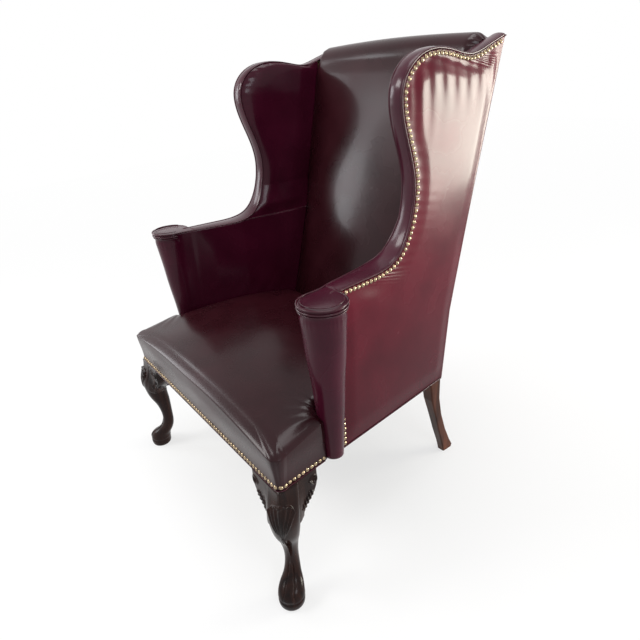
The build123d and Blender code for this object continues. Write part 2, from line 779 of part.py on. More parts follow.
def scroll_ring(drop):
    """Part of a ring of piping round the scroll, from the arm's inside to its crease."""
    z = arm_top - drop
    share = (z - rail_bottom) / (arm_top - rail_bottom)
    radius = post_foot_radius + (scroll_radius - post_foot_radius) * share + scroll_welt / 2 + fit / 2
    reach = post_foot_reach + (scroll_reach - post_foot_reach) * share
    depth = post_foot_depth + (scroll_depth - post_foot_depth) * share
    plane = Plane(origin=(reach, depth, z), x_dir=(-cos(radians(4)), -sin(radians(4)), 0), z_dir=(0, 0, 1))
    section = Plane(origin=plane.from_local_coords((radius, 0, 0)), x_dir=plane.x_dir, z_dir=plane.y_dir)
    ring = section * Circle(scroll_welt / 2)
    return revolve(ring, axis=Axis((reach, depth, z), (0, 0, 1)), revolution_arc=scroll_ring_turn)


rings = [scroll_ring(scroll_welt / 2), scroll_ring(scroll_welt * 4)]
bottom_welt = (hull(-bottom_welt_width / 2) - hull(bottom_welt_width)) & right_half & box_between(
    (0, crease_depth, rail_bottom - bottom_welt_width), (span, rail_rear, rail_bottom)
)
mirrored("welts", Compound(children=[outer_welt, inner_welt, *rings, bottom_welt]))


# Nails: domed heads set on the leather
def nail():
    """A domed head that sits just off z = 0."""
    radius = nail_head / 2
    ball = (radius**2 + nail_head_rise**2) / (2 * nail_head_rise)
    middle = nail_head_rise - ball
    half_turn = atan2(radius, -middle) / 2
    shoulder = (ball * sin(half_turn), middle + ball * cos(half_turn))
    arc = ThreePointArc((radius, 0), shoulder, (0, nail_head_rise))
    face = make_face(arc + Polyline((0, nail_head_rise), (0, 0), (radius, 0)))
    return Pos(0, 0, nail_lift) * revolve(Plane.XZ * face, axis=Axis.Z)


def along(points, pitch):
    """Places at an even pitch along straight runs between points, ends included."""
    path = Polyline(*points) if len(points) > 2 else Line(*points)
    count = round(path.length / pitch)
    return [path @ (i / count) for i in range(count + 1)]


def side_normal(y, z):
    """Direction square to the outer side of the body."""
    step = nail_pitch
    by_depth = (outer_half(y + step, z) - outer_half(y - step, z)) / (2 * step)
    by_height = (outer_half(y, z + step) - outer_half(y, z - step)) / (2 * step)
    return (1, -by_depth, -by_height)


def on_side(spots):
    """Nail places on the right outer side from depth and height."""
    return [((outer_half(y, z), y, z), side_normal(y, z)) for y, z in spots]


one_nail = nail()


def set_at(shape, places):
    """Copies of a shape on each place."""
    return [facing(point, direction).location * shape for point, direction in places]


nail_row = rail_bottom + nail_line_height
row_half = seat_half_front - nail_corner_offset
front_places = [((p.X, 0, nail_row), (0, -1, 0)) for p in along([(-row_half, 0), (row_half, 0)], nail_pitch)]
post_front = post_foot_depth - post_foot_radius - nail_head
return_spots = [(p.X, nail_row) for p in along([(nail_corner_offset, 0), (post_front, 0)], nail_pitch)]
return_places = on_side(return_spots)

nail_inset = welt_rise + nail_head / 2 + fit
nail_start = (crease_depth + 2 * nail_head, arm_top - nail_inset)
nail_end_height = wing_points[-1][1] - 1.2 * nail_inset
nail_end = (rear_edge(nail_end_height) - nail_inset, nail_end_height)
edge_points = [nail_start] + drawn_in(wing_points, nail_inset)[1:-1] + [nail_end]
edge_path = Spline(*edge_points)
edge_count = round(edge_path.length / nail_pitch)
edge_spots = [(p.X, p.Y) for p in [edge_path @ (i / edge_count) for i in range(edge_count + 1)]]
side_spots = on_side(edge_spots)
crease_nail_depth = crease_depth + nail_head / 2
crease_path = [(crease_nail_depth, nail_row), (crease_nail_depth, crease_nail_top)]
side_spots += on_side([(p.X, p.Y) for p in along(crease_path, nail_pitch)])


def back_spot(z):
    """Where the nail row on the back's right edge sits at height z."""
    return (outer_half(rear_edge(z), z) - cover_gap - nail_inset, rear_edge(z), z)


lower_normal = (0, back_knee_height - rail_bottom, seat_depth - back_knee_reach)
upper_normal = (0, wing_top_height - back_knee_height, back_knee_reach - back_reach)
nail_row_top = back_panel_top - nail_inset
lower_run = [back_spot(nail_row), back_spot(back_knee_height - nail_pitch / 2)]
upper_run = [back_spot(back_knee_height + nail_pitch / 2), back_spot(nail_row_top)]
back_places = [(tuple(p), lower_normal) for p in along(lower_run, nail_pitch)]
back_places += [(tuple(p), upper_normal) for p in along(upper_run, nail_pitch)]
back_places += [((-x, y, z), normal) for (x, y, z), normal in back_places]
for z, normal in ((nail_row, lower_normal), (nail_row_top, upper_normal)):
    x, y, z = back_spot(z)
    back_places += [(tuple(p), normal) for p in along([(-x, y, z), (x, y, z)], nail_pitch)[1:-1]]

return_nails = set_at(one_nail, return_places)
return_nails += [mirror(one, about=Plane.YZ) for one in return_nails]
pieces["seat_nails"] = Compound(children=set_at(one_nail, front_places) + return_nails)
pieces["back_nails"] = Compound(children=set_at(one_nail, back_places))
mirrored("side_nails", Compound(children=set_at(one_nail, side_spots)))

# File the timbers, covers and stuffing
for name, shape in side_timbers.items():
    mirrored(name, shape)
mirrored("outside_side_cover", outside_cover)
mirrored("edge_band", edge_band)
mirrored("inside_wing_cover", inside_wing_cover)
mirrored("inside_arm_cover", inside_arm_cover)
mirrored("wing_padding", wing_padding)
mirrored("arm_padding", arm_padding)
pieces["crest_rail"] = crest_rail
pieces["lower_back_rail"] = lower_back_rail
pieces["inside_back_cover"] = back_cover
pieces["back_padding"] = back_padding
pieces["outside_back_cover"] = outside_back
pieces["seat_cover"] = seat_cover
pieces["seat_padding"] = seat_padding

# The seat slopes back: the whole chair leans by that angle and its feet are cut level with the floor
under_floor = box_between((-span, -span, -span), (span, 2 * span, 0))
leaned = {name: Rot(X=-seat_slope) * shape for name, shape in pieces.items()}
for side in ("right", "left"):
    leaned[side + "_front_leg"] -= under_floor
    leaned[side + "_rear_leg"] -= under_floor
boxes = [shape.bounding_box() for shape in leaned.values()]
middle_depth = (min(box.min.Y for box in boxes) + max(box.max.Y for box in boxes)) / 2
for name, shape in leaned.items():
    export_step(Pos(0, -middle_depth, 0) * shape, "parts/" + name + ".step")
top = max(box.max.Z for box in boxes)
print("overall height", round(top, 2), "depth shift", round(middle_depth, 2), "pieces", len(leaned))
print("least gap between the coils of a spring", round(least_coil_gap(), 2))
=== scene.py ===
# %% [markdown]
# A leather wing armchair
#
# The chair is a timber frame under tight leather: a sprung seat, a raked back, two wings
# that flow down into the arms, and rows of domed brass nails. The sizes repeat those of
# the CAD frame. This lesson gives the leather, the nails and the carved legs their real
# form, each worked out with numpy as a function of two parameters. The back legs and what
# lies under the leather keep the frame's own shapes and get a finish.

import json

import bpy
import numpy as np
from mathutils import Matrix


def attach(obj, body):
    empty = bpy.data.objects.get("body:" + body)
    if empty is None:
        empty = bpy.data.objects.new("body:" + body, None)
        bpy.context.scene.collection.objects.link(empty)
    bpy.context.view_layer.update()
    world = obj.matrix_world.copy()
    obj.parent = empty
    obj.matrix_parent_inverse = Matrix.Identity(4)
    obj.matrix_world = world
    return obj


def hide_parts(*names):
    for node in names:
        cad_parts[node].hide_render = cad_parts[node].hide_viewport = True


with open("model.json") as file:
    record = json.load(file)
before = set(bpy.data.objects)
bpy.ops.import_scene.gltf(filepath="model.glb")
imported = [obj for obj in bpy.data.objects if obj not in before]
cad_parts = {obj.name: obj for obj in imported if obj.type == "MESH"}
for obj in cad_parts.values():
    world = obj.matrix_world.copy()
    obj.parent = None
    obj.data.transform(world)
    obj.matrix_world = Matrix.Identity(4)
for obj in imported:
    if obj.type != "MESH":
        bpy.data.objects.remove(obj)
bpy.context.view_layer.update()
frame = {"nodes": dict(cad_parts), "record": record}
print("nodes in the frame:", len(frame["nodes"]))

# %% [markdown]
# ## The maker's frame
#
# An upholsterer measures from the seat rail: how far back, how high, how wide. All the
# surfaces below are drawn that way, in millimetres, with the rails level. The finished
# chair leans back by the slope of its seat, so one function turns a point of the drawing
# into a point of the finished chair in metres. Doing this in one place keeps every
# surface in step with the frame. RAIL is the height of the rail's lower edge, RISE runs from
# there to the top and REACH from the front to the top corner of the back. The other values
# are the half widths and tapers at seat and top, the knee where the back begins to rake,
# the arm, the seat beside the arms, and the round scroll that ends each arm.

# %% From the drawing to the finished chair
LEAN = np.radians(2.4)
DEPTH_SHIFT = 376.8
RAIL, RISE, REACH = 312.0, 838.0, 742.0
SEAT_HALF, SEAT_TAPER, SEAT_DEPTH = 388.0, 83.0, 576.0
TOP_HALF, TOP_TAPER = 373.3, 51.0
KNEE_DEPTH, KNEE_HEIGHT = 597.0, 505.0
LOW_RAKE, HIGH_RAKE = 21.0 / 193.0, 145.0 / 632.0
ARM_TOP, ARM_FRONT, SEAT_SIDE = 690.0, 193.0, 403.0
FLARE_FOOT, WING_BLEND = 300.0, 90.0
SCROLL, SCROLL_RADIUS = np.array([375.0, 154.0]), 50.0
SEAT_CORNER, CORNER_RADIUS = (373.0, 15.0), 15.0
WORD = {1: "right", -1: "left"}


def to_chair(points):
    """Drawing to chair: turn about the X axis by the lean, slide forward, millimetres to metres."""
    p = np.asarray(points, float)
    y = p[..., 1] * np.cos(LEAN) + p[..., 2] * np.sin(LEAN) - DEPTH_SHIFT
    z = p[..., 2] * np.cos(LEAN) - p[..., 1] * np.sin(LEAN)
    return np.stack([p[..., 0], y, z], axis=-1) / 1000.0


def outer_half(y, z):
    """Half width of the body: straight lines front to back at rail and top, blended by height."""
    low = SEAT_HALF - SEAT_TAPER * y / SEAT_DEPTH
    high = TOP_HALF - TOP_TAPER * y / REACH
    return low + (high - low) * (z - RAIL) / RISE


def rear_edge(z):
    """Depth of the back edge: two straight lines that meet at the knee of the back."""
    z = np.asarray(z, float)
    low = KNEE_DEPTH - LOW_RAKE * (KNEE_HEIGHT - z)
    high = KNEE_DEPTH + HIGH_RAKE * (z - KNEE_HEIGHT)
    return np.where(z < KNEE_HEIGHT, low, high)


STATIONS = np.array([0.260, 0.465, 0.755, 1.080]) * REACH
FOOT_WIDTH = 56.0 * np.array([0.50, 0.95, 0.90, 0.78])
ARM_WIDTH = 62.0 * np.array([0.73, 1.00, 0.84, 0.70])
WING_WIDTH = 40.0 * np.array([1.00, 1.00, 1.00, 0.95])


def inner_half(y, z):
    """Half width between the arms: the outer half less the thickness of arm or wing there."""
    y = np.asarray(y, float)
    z = np.asarray(z, float)
    foot = np.interp(y, STATIONS, FOOT_WIDTH)
    arm = np.interp(y, STATIONS, ARM_WIDTH)
    wing = np.interp(y, STATIONS, WING_WIDTH)
    low = np.clip((z - FLARE_FOOT) / (ARM_TOP - FLARE_FOOT), 0, 1)
    high = np.clip((z - ARM_TOP) / WING_BLEND, 0, 1)
    return outer_half(y, z) - (foot + (arm - foot) * low + (wing - arm) * high)


def smooth(x, start, end):
    """An even S from 0 at start to 1 at end."""
    t = np.clip((np.asarray(x, float) - start) / (end - start), 0, 1)
    return t * t * (3 - 2 * t)


def hump(x, centre, width):
    """A round hill of height 1: the bell curve."""
    return np.exp(-(((np.asarray(x, float) - centre) / width) ** 2))


print("seat half width, front and back:", outer_half(0, RAIL), outer_half(SEAT_DEPTH, RAIL))

# %% [markdown]
# ## Curves
#
# The outline of arm and wing is one flowing line. A natural cubic spline through a few
# points gives the same line that the frame was sawn to. It is then resampled at
# even steps, because nails and welts sit at even distances along it.

# %% Splines through points
def walk(points, count):
    """The same path with its points at even distances."""
    p = np.asarray(points, float)
    steps = np.linalg.norm(np.diff(p, axis=0), axis=1)
    run = np.concatenate([[0], np.cumsum(steps)])
    at = np.linspace(0, run[-1], count)
    return np.stack([np.interp(at, run, p[:, k]) for k in range(p.shape[1])], axis=-1)


def length(points):
    """Length of a path: the sum of its steps."""
    return float(np.linalg.norm(np.diff(points, axis=0), axis=1).sum())


def spline(points, count):
    """Natural cubic spline: the bending at the knots solves one small linear system."""
    p = np.asarray(points, float)
    t = np.concatenate([[0], np.cumsum(np.linalg.norm(np.diff(p, axis=0), axis=1))])
    h = np.diff(t)
    n = len(p)
    a = np.eye(n)
    rhs = np.zeros_like(p)
    for i in range(1, n - 1):
        a[i, i - 1 : i + 2] = h[i - 1], 2 * (h[i - 1] + h[i]), h[i]
        rhs[i] = 6 * ((p[i + 1] - p[i]) / h[i] - (p[i] - p[i - 1]) / h[i - 1])
    bend = np.linalg.solve(a, rhs)
    x = np.linspace(0, t[-1], 40 * n)
    i = np.clip(np.searchsorted(t, x) - 1, 0, n - 2)
    left, right, step = (t[i + 1] - x)[:, None], (x - t[i])[:, None], h[i][:, None]
    fine = (bend[i] * left**3 + bend[i + 1] * right**3) / (6 * step)
    fine += (p[i] / step - bend[i] * step / 6) * left + (p[i + 1] / step - bend[i + 1] * step / 6) * right
    return walk(fine, count)


def curve(x, knots, heights):
    """Height of a smooth curve through the knots: cubic spline, read off finely."""
    fine = spline(np.column_stack([knots, heights]), 300)
    return np.interp(x, fine[:, 0], fine[:, 1])


WING_SHARES = np.array(
    [
        (0.260, 0.4510), (0.392, 0.4530), (0.468, 0.4570), (0.522, 0.4740), (0.562, 0.5160),
        (0.591, 0.5880), (0.596, 0.6560), (0.572, 0.7410), (0.544, 0.8270), (0.547, 0.8870),
        (0.594, 0.9390), (0.676, 0.9620), (0.769, 0.9530), (0.841, 0.9440), (0.919, 0.9610),
        (1.000, 0.9845),
    ]
)
WING = WING_SHARES * [REACH, RISE] + [0, RAIL]
OUTLINE = spline(np.vstack([[SCROLL[1], ARM_TOP], WING[1:]]), 400)


def inset(path, distance):
    """A flat path moved sideways, square to its own direction."""
    d = np.gradient(path, axis=0)
    d /= np.linalg.norm(d, axis=1)[:, None]
    return path + distance * np.stack([d[:, 1], -d[:, 0]], axis=-1)


print("outline of arm and wing, mm:", round(length(OUTLINE)))

# %% [markdown]
# ## Surfaces from arrays
#
# A grid of points becomes a mesh in one step: four neighbours make a face. Leather is a
# sheet, so most grids get a Solidify modifier that grows inwards. Closed forms, such as
# a welt or a leg, wrap round in one direction and are capped at both ends.

# %% Grid meshes
LEATHER = 2.0


def finish_mesh(name, verts, faces, material, nodes=(), thickness=0.0, side=1):
    """Puts points and faces into a mesh, mirrored for the left side, and hands it to the frame."""
    verts = np.array(verts, float)
    if side < 0:
        verts[:, 0] *= -1
        faces = [face[::-1] for face in faces]
    mesh = bpy.data.meshes.new(name)
    mesh.from_pydata(to_chair(verts).tolist(), [], faces)
    mesh.polygons.foreach_set("use_smooth", np.ones(len(mesh.polygons), bool))
    mesh.materials.append(material)
    obj = bpy.data.objects.new(name, mesh)
    bpy.context.scene.collection.objects.link(obj)
    if thickness:
        wall = obj.modifiers.new("leather", "SOLIDIFY")
        wall.thickness = thickness / 1000.0
        wall.offset = -1
    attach(obj, "root")
    if nodes:
        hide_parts(*nodes)
    return obj


def grid_faces(nu, nv, wrap=False, flip=False):
    """Corner numbers of each square in a grid, row by row; wrap joins the last row to the first."""
    i = np.arange(nu if wrap else nu - 1)[:, None]
    j = np.arange(nv - 1)[None, :]
    a, b = i * nv + j, ((i + 1) % nu) * nv + j
    quads = np.stack([a, b, b + 1, a + 1], axis=-1).reshape(-1, 4)
    return quads[:, ::-1] if flip else quads


def sheet_mesh(name, grid, outward, material, nodes, side=1):
    """A leather sheet: its faces are turned so that their sum looks along outward."""
    nu, nv = grid.shape[:2]
    du = grid[1:, :-1] - grid[:-1, :-1]
    dv = grid[:-1, 1:] - grid[:-1, :-1]
    looks = np.cross(du, dv).sum(axis=(0, 1)) @ np.asarray(outward, float)
    faces = grid_faces(nu, nv, flip=looks < 0).tolist()
    return finish_mesh(name, grid.reshape(-1, 3), faces, material, nodes, LEATHER, side)


def tube_arrays(path, radius, around=8):
    """A round cord: a ring of points square to the path at each step, capped at the ends."""
    p = np.asarray(path, float)
    d = np.gradient(p, axis=0)
    d /= np.linalg.norm(d, axis=1)[:, None]
    up = np.eye(3)[np.argmin(np.abs(d).max(axis=0))]
    side = np.cross(d, up)
    side /= np.linalg.norm(side, axis=1)[:, None]
    rise = np.cross(side, d)
    angle = np.linspace(0, 2 * np.pi, around, endpoint=False)[None, :, None]
    ring = np.cos(angle) * side[:, None] + np.sin(angle) * rise[:, None]
    verts = (p[:, None] + radius * ring).reshape(-1, 3)
    n = len(p)
    i = np.arange(n - 1)[:, None]
    j = np.arange(around)[None, :]
    beside = (j + 1) % around
    corners = [i * around + j, i * around + beside, (i + 1) * around + beside, (i + 1) * around + j]
    faces = np.stack(corners, axis=-1).reshape(-1, 4).tolist()
    faces.append(list(range(around)))
    faces.append(list(range((n - 1) * around, n * around))[::-1])
    return verts, faces


def join(parts):
    """Several vertex and face lists as one."""
    verts, faces, start = [], [], 0
    for v, f in parts:
        verts.append(v)
        faces += [[start + k for k in face] for face in f]
        start += len(v)
    return np.vstack(verts), faces


def loose_mesh(name, parts, material, nodes=(), side=1, thickness=0.0):
    """One mesh from several closed forms."""
    verts, faces = join(parts)
    return finish_mesh(name, verts, faces, material, nodes, thickness, side)


print("grid helpers ready")

# %% [markdown]
# ## Shader maths as plain expressions
#
# A finish is a formula: a base colour, plus some noise, less some wear. One small class
# wraps a socket so that such formulas can be written as Python expressions, and one
# method makes any other node.

# %% A material that reads like a formula
class Value:
    """A shader socket with arithmetic: each operator adds one Math node."""

    def __init__(self, nodes, socket):
        self.nodes, self.socket = nodes, socket

    def math(self, kind, other, swap=False):
        first, second = (other, self) if swap else (self, other)
        return self.nodes.node("ShaderNodeMath", {"operation": kind}, {0: first, 1: second})

    def __add__(self, other):
        return self.math("ADD", other)

    def __sub__(self, other):
        return self.math("SUBTRACT", other)

    def __mul__(self, other):
        return self.math("MULTIPLY", other)

    def __truediv__(self, other):
        return self.math("DIVIDE", other)

    def __rsub__(self, other):
        return self.math("SUBTRACT", other, swap=True)

    def __rtruediv__(self, other):
        return self.math("DIVIDE", other, swap=True)

    def clamp(self, low=0.0, high=1.0):
        return self.math("MAXIMUM", low).math("MINIMUM", high)

    __radd__ = __add__
    __rmul__ = __mul__


class Nodes:
    """A node tree, with one method that makes any node in it."""

    def __init__(self, tree):
        self.tree = tree

    def put(self, socket, value):
        """Feeds a number, a colour or a link into a socket."""
        if isinstance(value, Value):
            self.tree.links.new(value.socket, socket)
        else:
            socket.default_value = value

    def node(self, kind, settings=None, inputs=None, out=0):
        """Any node: its settings are set first, then its sockets."""
        made = self.tree.nodes.new(kind)
        for key, value in (settings or {}).items():
            setattr(made, key, value)
        for key, value in (inputs or {}).items():
            self.put(made.inputs[key], value)
        return Value(self, made.outputs[out])

    def seen_white(self):
        """1 for rays from the camera and for rays in gloss and glass, else 0."""
        seen = self.node("ShaderNodeLightPath", out="Is Camera Ray")
        for ray in ("Is Glossy Ray", "Is Transmission Ray"):
            seen = seen.math("MAXIMUM", self.node("ShaderNodeLightPath", out=ray))
        return seen


class Paint(Nodes):
    """One node material: a Principled shader and the nodes that feed it."""

    def __init__(self, name, **constants):
        self.material = bpy.data.materials.new(name)
        self.material.use_nodes = True
        super().__init__(self.material.node_tree)
        self.shader = self.tree.nodes["Principled BSDF"]
        for key, value in constants.items():
            self.shader.inputs[key.replace("_", " ")].default_value = value

    def place(self, scale=(1, 1, 1)):
        """Object coordinates, stretched by scale."""
        here = self.node("ShaderNodeTexCoord", out="Object")
        return self.node("ShaderNodeMapping", None, {"Vector": here, "Scale": scale})

    def axis(self, which):
        """One of the object's own coordinates, in metres."""
        here = self.node("ShaderNodeTexCoord", out="Object")
        return self.node("ShaderNodeSeparateXYZ", None, {0: here}, out=which)

    def noise(self, scale, detail=3.0, rough=0.55, stretch=(1, 1, 1), warp=0.0):
        """Cloudy noise from 0 to 1."""
        sockets = {"Vector": self.place(stretch), "Scale": scale, "Detail": detail}
        sockets.update({"Roughness": rough, "Distortion": warp})
        return self.node("ShaderNodeTexNoise", None, sockets)

    def cells(self, scale):
        """Cell pattern: distance to the nearest edge between two cells."""
        sockets = {"Vector": self.place(), "Scale": scale}
        return self.node("ShaderNodeTexVoronoi", {"feature": "DISTANCE_TO_EDGE"}, sockets)

    def blend(self, factor, first, second):
        """A colour between first and second."""
        sockets = {0: factor, 6: first, 7: second}
        return self.node("ShaderNodeMix", {"data_type": "RGBA"}, sockets, out=2)

    def bump(self, height, distance, strength=1.0):
        """Small relief from a height between 0 and 1, distance in metres."""
        inputs = {"Height": height, "Distance": distance, "Strength": strength}
        self.put(self.shader.inputs["Normal"], self.node("ShaderNodeBump", None, inputs))

    def colour(self, value):
        self.put(self.shader.inputs["Base Color"], value)

    def rough(self, value):
        self.put(self.shader.inputs["Roughness"], value)


print("shader helper ready")

# %% [markdown]
# ## Oxblood leather
#
# The leather is a deep wine red that has been rubbed and waxed for years. Its colour
# drifts slowly between three reds and is darker in the pores. On the outside panels a
# painted shade darkens it towards the rail. Under the wax lies a fine pebbled grain, made
# from cells and noise. A coat makes the waxed shine, and the roughness below it varies, so
# that reflections break up as they do on old hide.

# %% Leather
# Painted shade on the outside leather: the height where it starts and how fast it deepens towards the rail.
SHADE_START, SHADE_RATE = 0.31, 3.0


def leather(name, deep, middle, bright, shine, coat, gloss=0.16, painted_shade=0.0):
    """Waxed hide: three reds blended by slow noise, a painted shade that darkens it towards the rail, pebble
    grain.
    """
    deep, middle, bright = [(*red, 1) for red in (deep, middle, bright)]
    p = Paint(name, Specular_IOR_Level=gloss, Coat_Weight=coat, Coat_Roughness=0.12)
    slow = p.noise(3.5, 2.0, 0.4)
    mottle = p.noise(14.0, 2.0, 0.45)
    fine = p.noise(160.0, 2.0, 0.5)
    first = p.blend(((slow - 0.15) * 1.4).clamp(), deep, middle)
    second = p.blend(((mottle - 0.30) * 1.6).clamp() * 0.30, first, bright)
    pores = ((fine - 0.42) * 2.2).clamp()
    # Painted shade: below a set height the colour turns to the deep red, more so towards the rail.
    low = (1.0 - (p.axis(2) - SHADE_START) * SHADE_RATE).clamp() * painted_shade
    p.colour(p.blend((pores * 0.14 + low).clamp(), second, deep))
    p.rough(shine + (mottle - 0.5) * 0.08 + (slow - 0.5) * 0.12)
    pebble = p.cells(330.0)
    height = (pebble * 3.0).clamp() * 0.4 + mottle * 0.6
    p.bump(height, 0.00022, 0.35)
    return p.material


seat_leather = leather(
    "seat_leather", (0.012, 0.002, 0.003), (0.027, 0.004, 0.007), (0.047, 0.008, 0.013),
    shine=0.28, coat=0.11,
)
wing_leather = leather(
    "wing_leather", (0.028, 0.002, 0.008), (0.060, 0.004, 0.017), (0.098, 0.009, 0.027),
    shine=0.27, coat=0.15, gloss=0.10,
)
band_leather = leather(
    "band_leather", (0.030, 0.003, 0.010), (0.058, 0.006, 0.018), (0.095, 0.014, 0.030),
    shine=0.26, coat=0.24,
)
# The outside panels and the outside back get the painted shade towards the rail.
side_leather = leather(
    "side_leather", (0.040, 0.002, 0.007), (0.135, 0.005, 0.018), (0.195, 0.010, 0.029),
    shine=0.27, coat=0.11, gloss=0.09, painted_shade=0.75,
)
welt_leather = leather(
    "welt_leather", (0.030, 0.004, 0.010), (0.060, 0.008, 0.018), (0.095, 0.018, 0.030),
    shine=0.27, coat=0.24,
)
print("leathers made")

# %% [markdown]
# ## Mahogany, brass and the hidden stuffs
#
# The legs are dark polished mahogany: long grain that runs from almost black to red brown,
# with fine dark pores. The back legs are the redder ones. The nails are brass that has
# gone dull in spots. Underneath, jute webbing, hessian and a black dust cloth are woven,
# so their materials carry a fine weave.

# %% Wood, metal and cloth
def polished_wood(name, dark, light, shine):
    """Grain as noise stretched along Z, with pores, under a coat of polish."""
    p = Paint(name, Specular_IOR_Level=0.08, Coat_Weight=0.13, Coat_Roughness=0.08)
    figure = p.noise(26.0, 6.0, 0.6, (1.0, 1.0, 0.12), 1.2)
    pores = p.noise(300.0, 2.0, 0.5, (1.0, 1.0, 0.05))
    tone = p.blend(((figure - 0.35) * 2.4).clamp(), dark, light)
    p.colour(p.blend(((pores - 0.55) * 4.0).clamp() * 0.5, tone, dark))
    p.rough((shine + (figure - 0.5) * 0.2).clamp(0.1, 0.8))
    p.bump(pores * 0.6 + figure * 0.4, 0.0003, 0.4)
    return p.material


def raw_wood(name):
    """Sawn beech: pale, straight grained and dull."""
    p = Paint(name, Specular_IOR_Level=0.3)
    figure = p.noise(22.0, 5.0, 0.6, (0.15, 1.0, 1.0), 0.8)
    p.colour(p.blend(figure, (0.38, 0.24, 0.12, 1), (0.56, 0.39, 0.22, 1)))
    p.rough(0.55 + figure * 0.25)
    p.bump(p.noise(180.0, 3.0, 0.6, (0.1, 1.0, 1.0)), 0.0004, 0.5)
    return p.material


def aged_metal(name, bright, dull, shine):
    """Bright metal with a fine noise that dulls it in spots."""
    p = Paint(name, Metallic=1.0)
    patina = p.noise(210.0, 3.0, 0.6)
    p.colour(p.blend(((patina - 0.4) * 3.0).clamp(), bright, dull))
    p.rough((shine + (patina - 0.5) * 0.3).clamp(0.12, 0.8))
    p.bump(p.noise(500.0, 2.0, 0.5), 0.0002, 0.3)
    return p.material


def woven(name, light, dark, scale):
    """Plain weave: two sets of threads, over and under, from two wave patterns."""
    p = Paint(name, Specular_IOR_Level=0.2)
    sockets = {"Vector": p.place(), "Scale": scale, "Distortion": 0.6}
    across = p.node("ShaderNodeTexWave", {"bands_direction": "X"}, sockets)
    along = p.node("ShaderNodeTexWave", {"bands_direction": "Y"}, sockets)
    threads = (across * 0.5 + along * 0.5).clamp()
    p.colour(p.blend(threads * 0.7 + p.noise(60.0) * 0.3, dark, light))
    p.rough(0.85 + threads * 0.1)
    p.bump(threads, 0.0006, 0.7)
    return p.material


mahogany = polished_wood("mahogany", (0.007, 0.003, 0.003, 1), (0.034, 0.012, 0.008, 1), 0.24)
rear_mahogany = polished_wood("rear_mahogany", (0.030, 0.009, 0.005, 1), (0.130, 0.038, 0.018, 1), 0.34)
beech = raw_wood("beech")
brass = aged_metal("aged_brass", (0.43, 0.33, 0.21, 1), (0.10, 0.075, 0.05, 1), 0.25)
steel = aged_metal("spring_steel", (0.50, 0.50, 0.50, 1), (0.22, 0.21, 0.20, 1), 0.35)
jute = woven("jute", (0.42, 0.31, 0.18, 1), (0.20, 0.14, 0.08, 1), 160.0)
hair = woven("stuffing", (0.16, 0.11, 0.07, 1), (0.06, 0.04, 0.03, 1), 60.0)
dust_cloth = woven("dust_cloth", (0.028, 0.027, 0.026, 1), (0.010, 0.010, 0.010, 1), 260.0)

NODE_MATERIALS = {
    "mahogany": mahogany, "beech": beech, "brass": brass, "steel": steel,
    "jute": jute, "stuffing": hair, "black_cloth": dust_cloth, "leather": welt_leather,
}
slots = {part["node"]: part["material_slot"] for part in frame["record"]["subparts"]}
for node_name, node in frame["nodes"].items():
    node.data.materials.clear()
    node.data.materials.append(NODE_MATERIALS[slots[node_name]])
for word in WORD.values():
    rear = frame["nodes"][word + "_rear_leg"]
    rear.data.materials[0] = rear_mahogany
print("materials on", len(slots), "nodes")

# %% [markdown]
# ## The light and the camera
#
# A white sweep and five soft lamps: the key light high in front on the left, a window low on
# the left, a warm one low behind the right side, which puts the cream reflection on the
# outside panel, a small cool one on the right and a wide one above. The world adds even
# light. The camera stands where the photograph was taken: to the chair's right, above the
# arms, looking down.

# %% Floor, lights and camera
WHITE = (1, 1, 1, 1)
FAR = 6.0


def backdrop():
    """A large pale floor that the camera, gloss and glass all see as white."""
    p = Paint("floor", Specular_IOR_Level=0.0, Roughness=1.0)
    p.colour((0.90, 0.90, 0.90, 1))
    seen = p.seen_white()
    east, north = p.axis(0), p.axis(1)
    near = 1.0 / (1.0 + (east * east + north * north) * 1.6)
    glow = p.node("ShaderNodeEmission", None, {"Color": WHITE, "Strength": 1.0})
    plain = Value(p, p.shader.outputs[0])
    mix = p.node("ShaderNodeMixShader", None, {0: seen * (1.0 - near * 0.42), 1: plain, 2: glow})
    p.put(p.tree.nodes["Material Output"].inputs["Surface"], mix)
    mesh = bpy.data.meshes.new("floor")
    corners = [(-FAR, -FAR, 0.0), (FAR, -FAR, 0.0), (FAR, FAR, 0.0), (-FAR, FAR, 0.0)]
    mesh.from_pydata(corners, [], [(0, 1, 2, 3)])
    mesh.materials.append(p.material)
    obj = bpy.data.objects.new("floor", mesh)
    bpy.context.scene.collection.objects.link(obj)


def white_world(strength):
    """Even light of the given strength; straight to the camera and in gloss it is white."""
    world = bpy.data.worlds.new("studio")
    bpy.context.scene.world = world
    world.use_nodes = True
    sky = Nodes(world.node_tree)
    sky.tree.nodes.clear()
    around = sky.node("ShaderNodeBackground", None, {"Color": WHITE, "Strength": strength})
    plain = sky.node("ShaderNodeBackground", None, {"Color": WHITE, "Strength": 1.0})
    mix = sky.node("ShaderNodeMixShader", None, {0: sky.seen_white(), 1: around, 2: plain})
    out = sky.tree.nodes.new("ShaderNodeOutputWorld")
    sky.put(out.inputs["Surface"], mix)


def lamp(name, place, target, size, power, colour=(1, 1, 1)):
    """A rectangular soft light at place, turned to look at target."""
    data = bpy.data.lights.new(name, "AREA")
    data.shape = "RECTANGLE"
    data.size, data.size_y = size
    data.energy = power
    data.color = colour
    obj = bpy.data.objects.new(name, data)
    bpy.context.scene.collection.objects.link(obj)
    z = np.asarray(place, float) - np.asarray(target, float)
    z /= np.linalg.norm(z)
    x = np.cross([0, 0, 1.0], z)
    x /= np.linalg.norm(x)
    y = np.cross(z, x)
    obj.visible_camera = False
    turn = np.eye(4)
    turn[:3, 0], turn[:3, 1], turn[:3, 2], turn[:3, 3] = x, y, z, place
    obj.matrix_world = Matrix(turn.tolist())


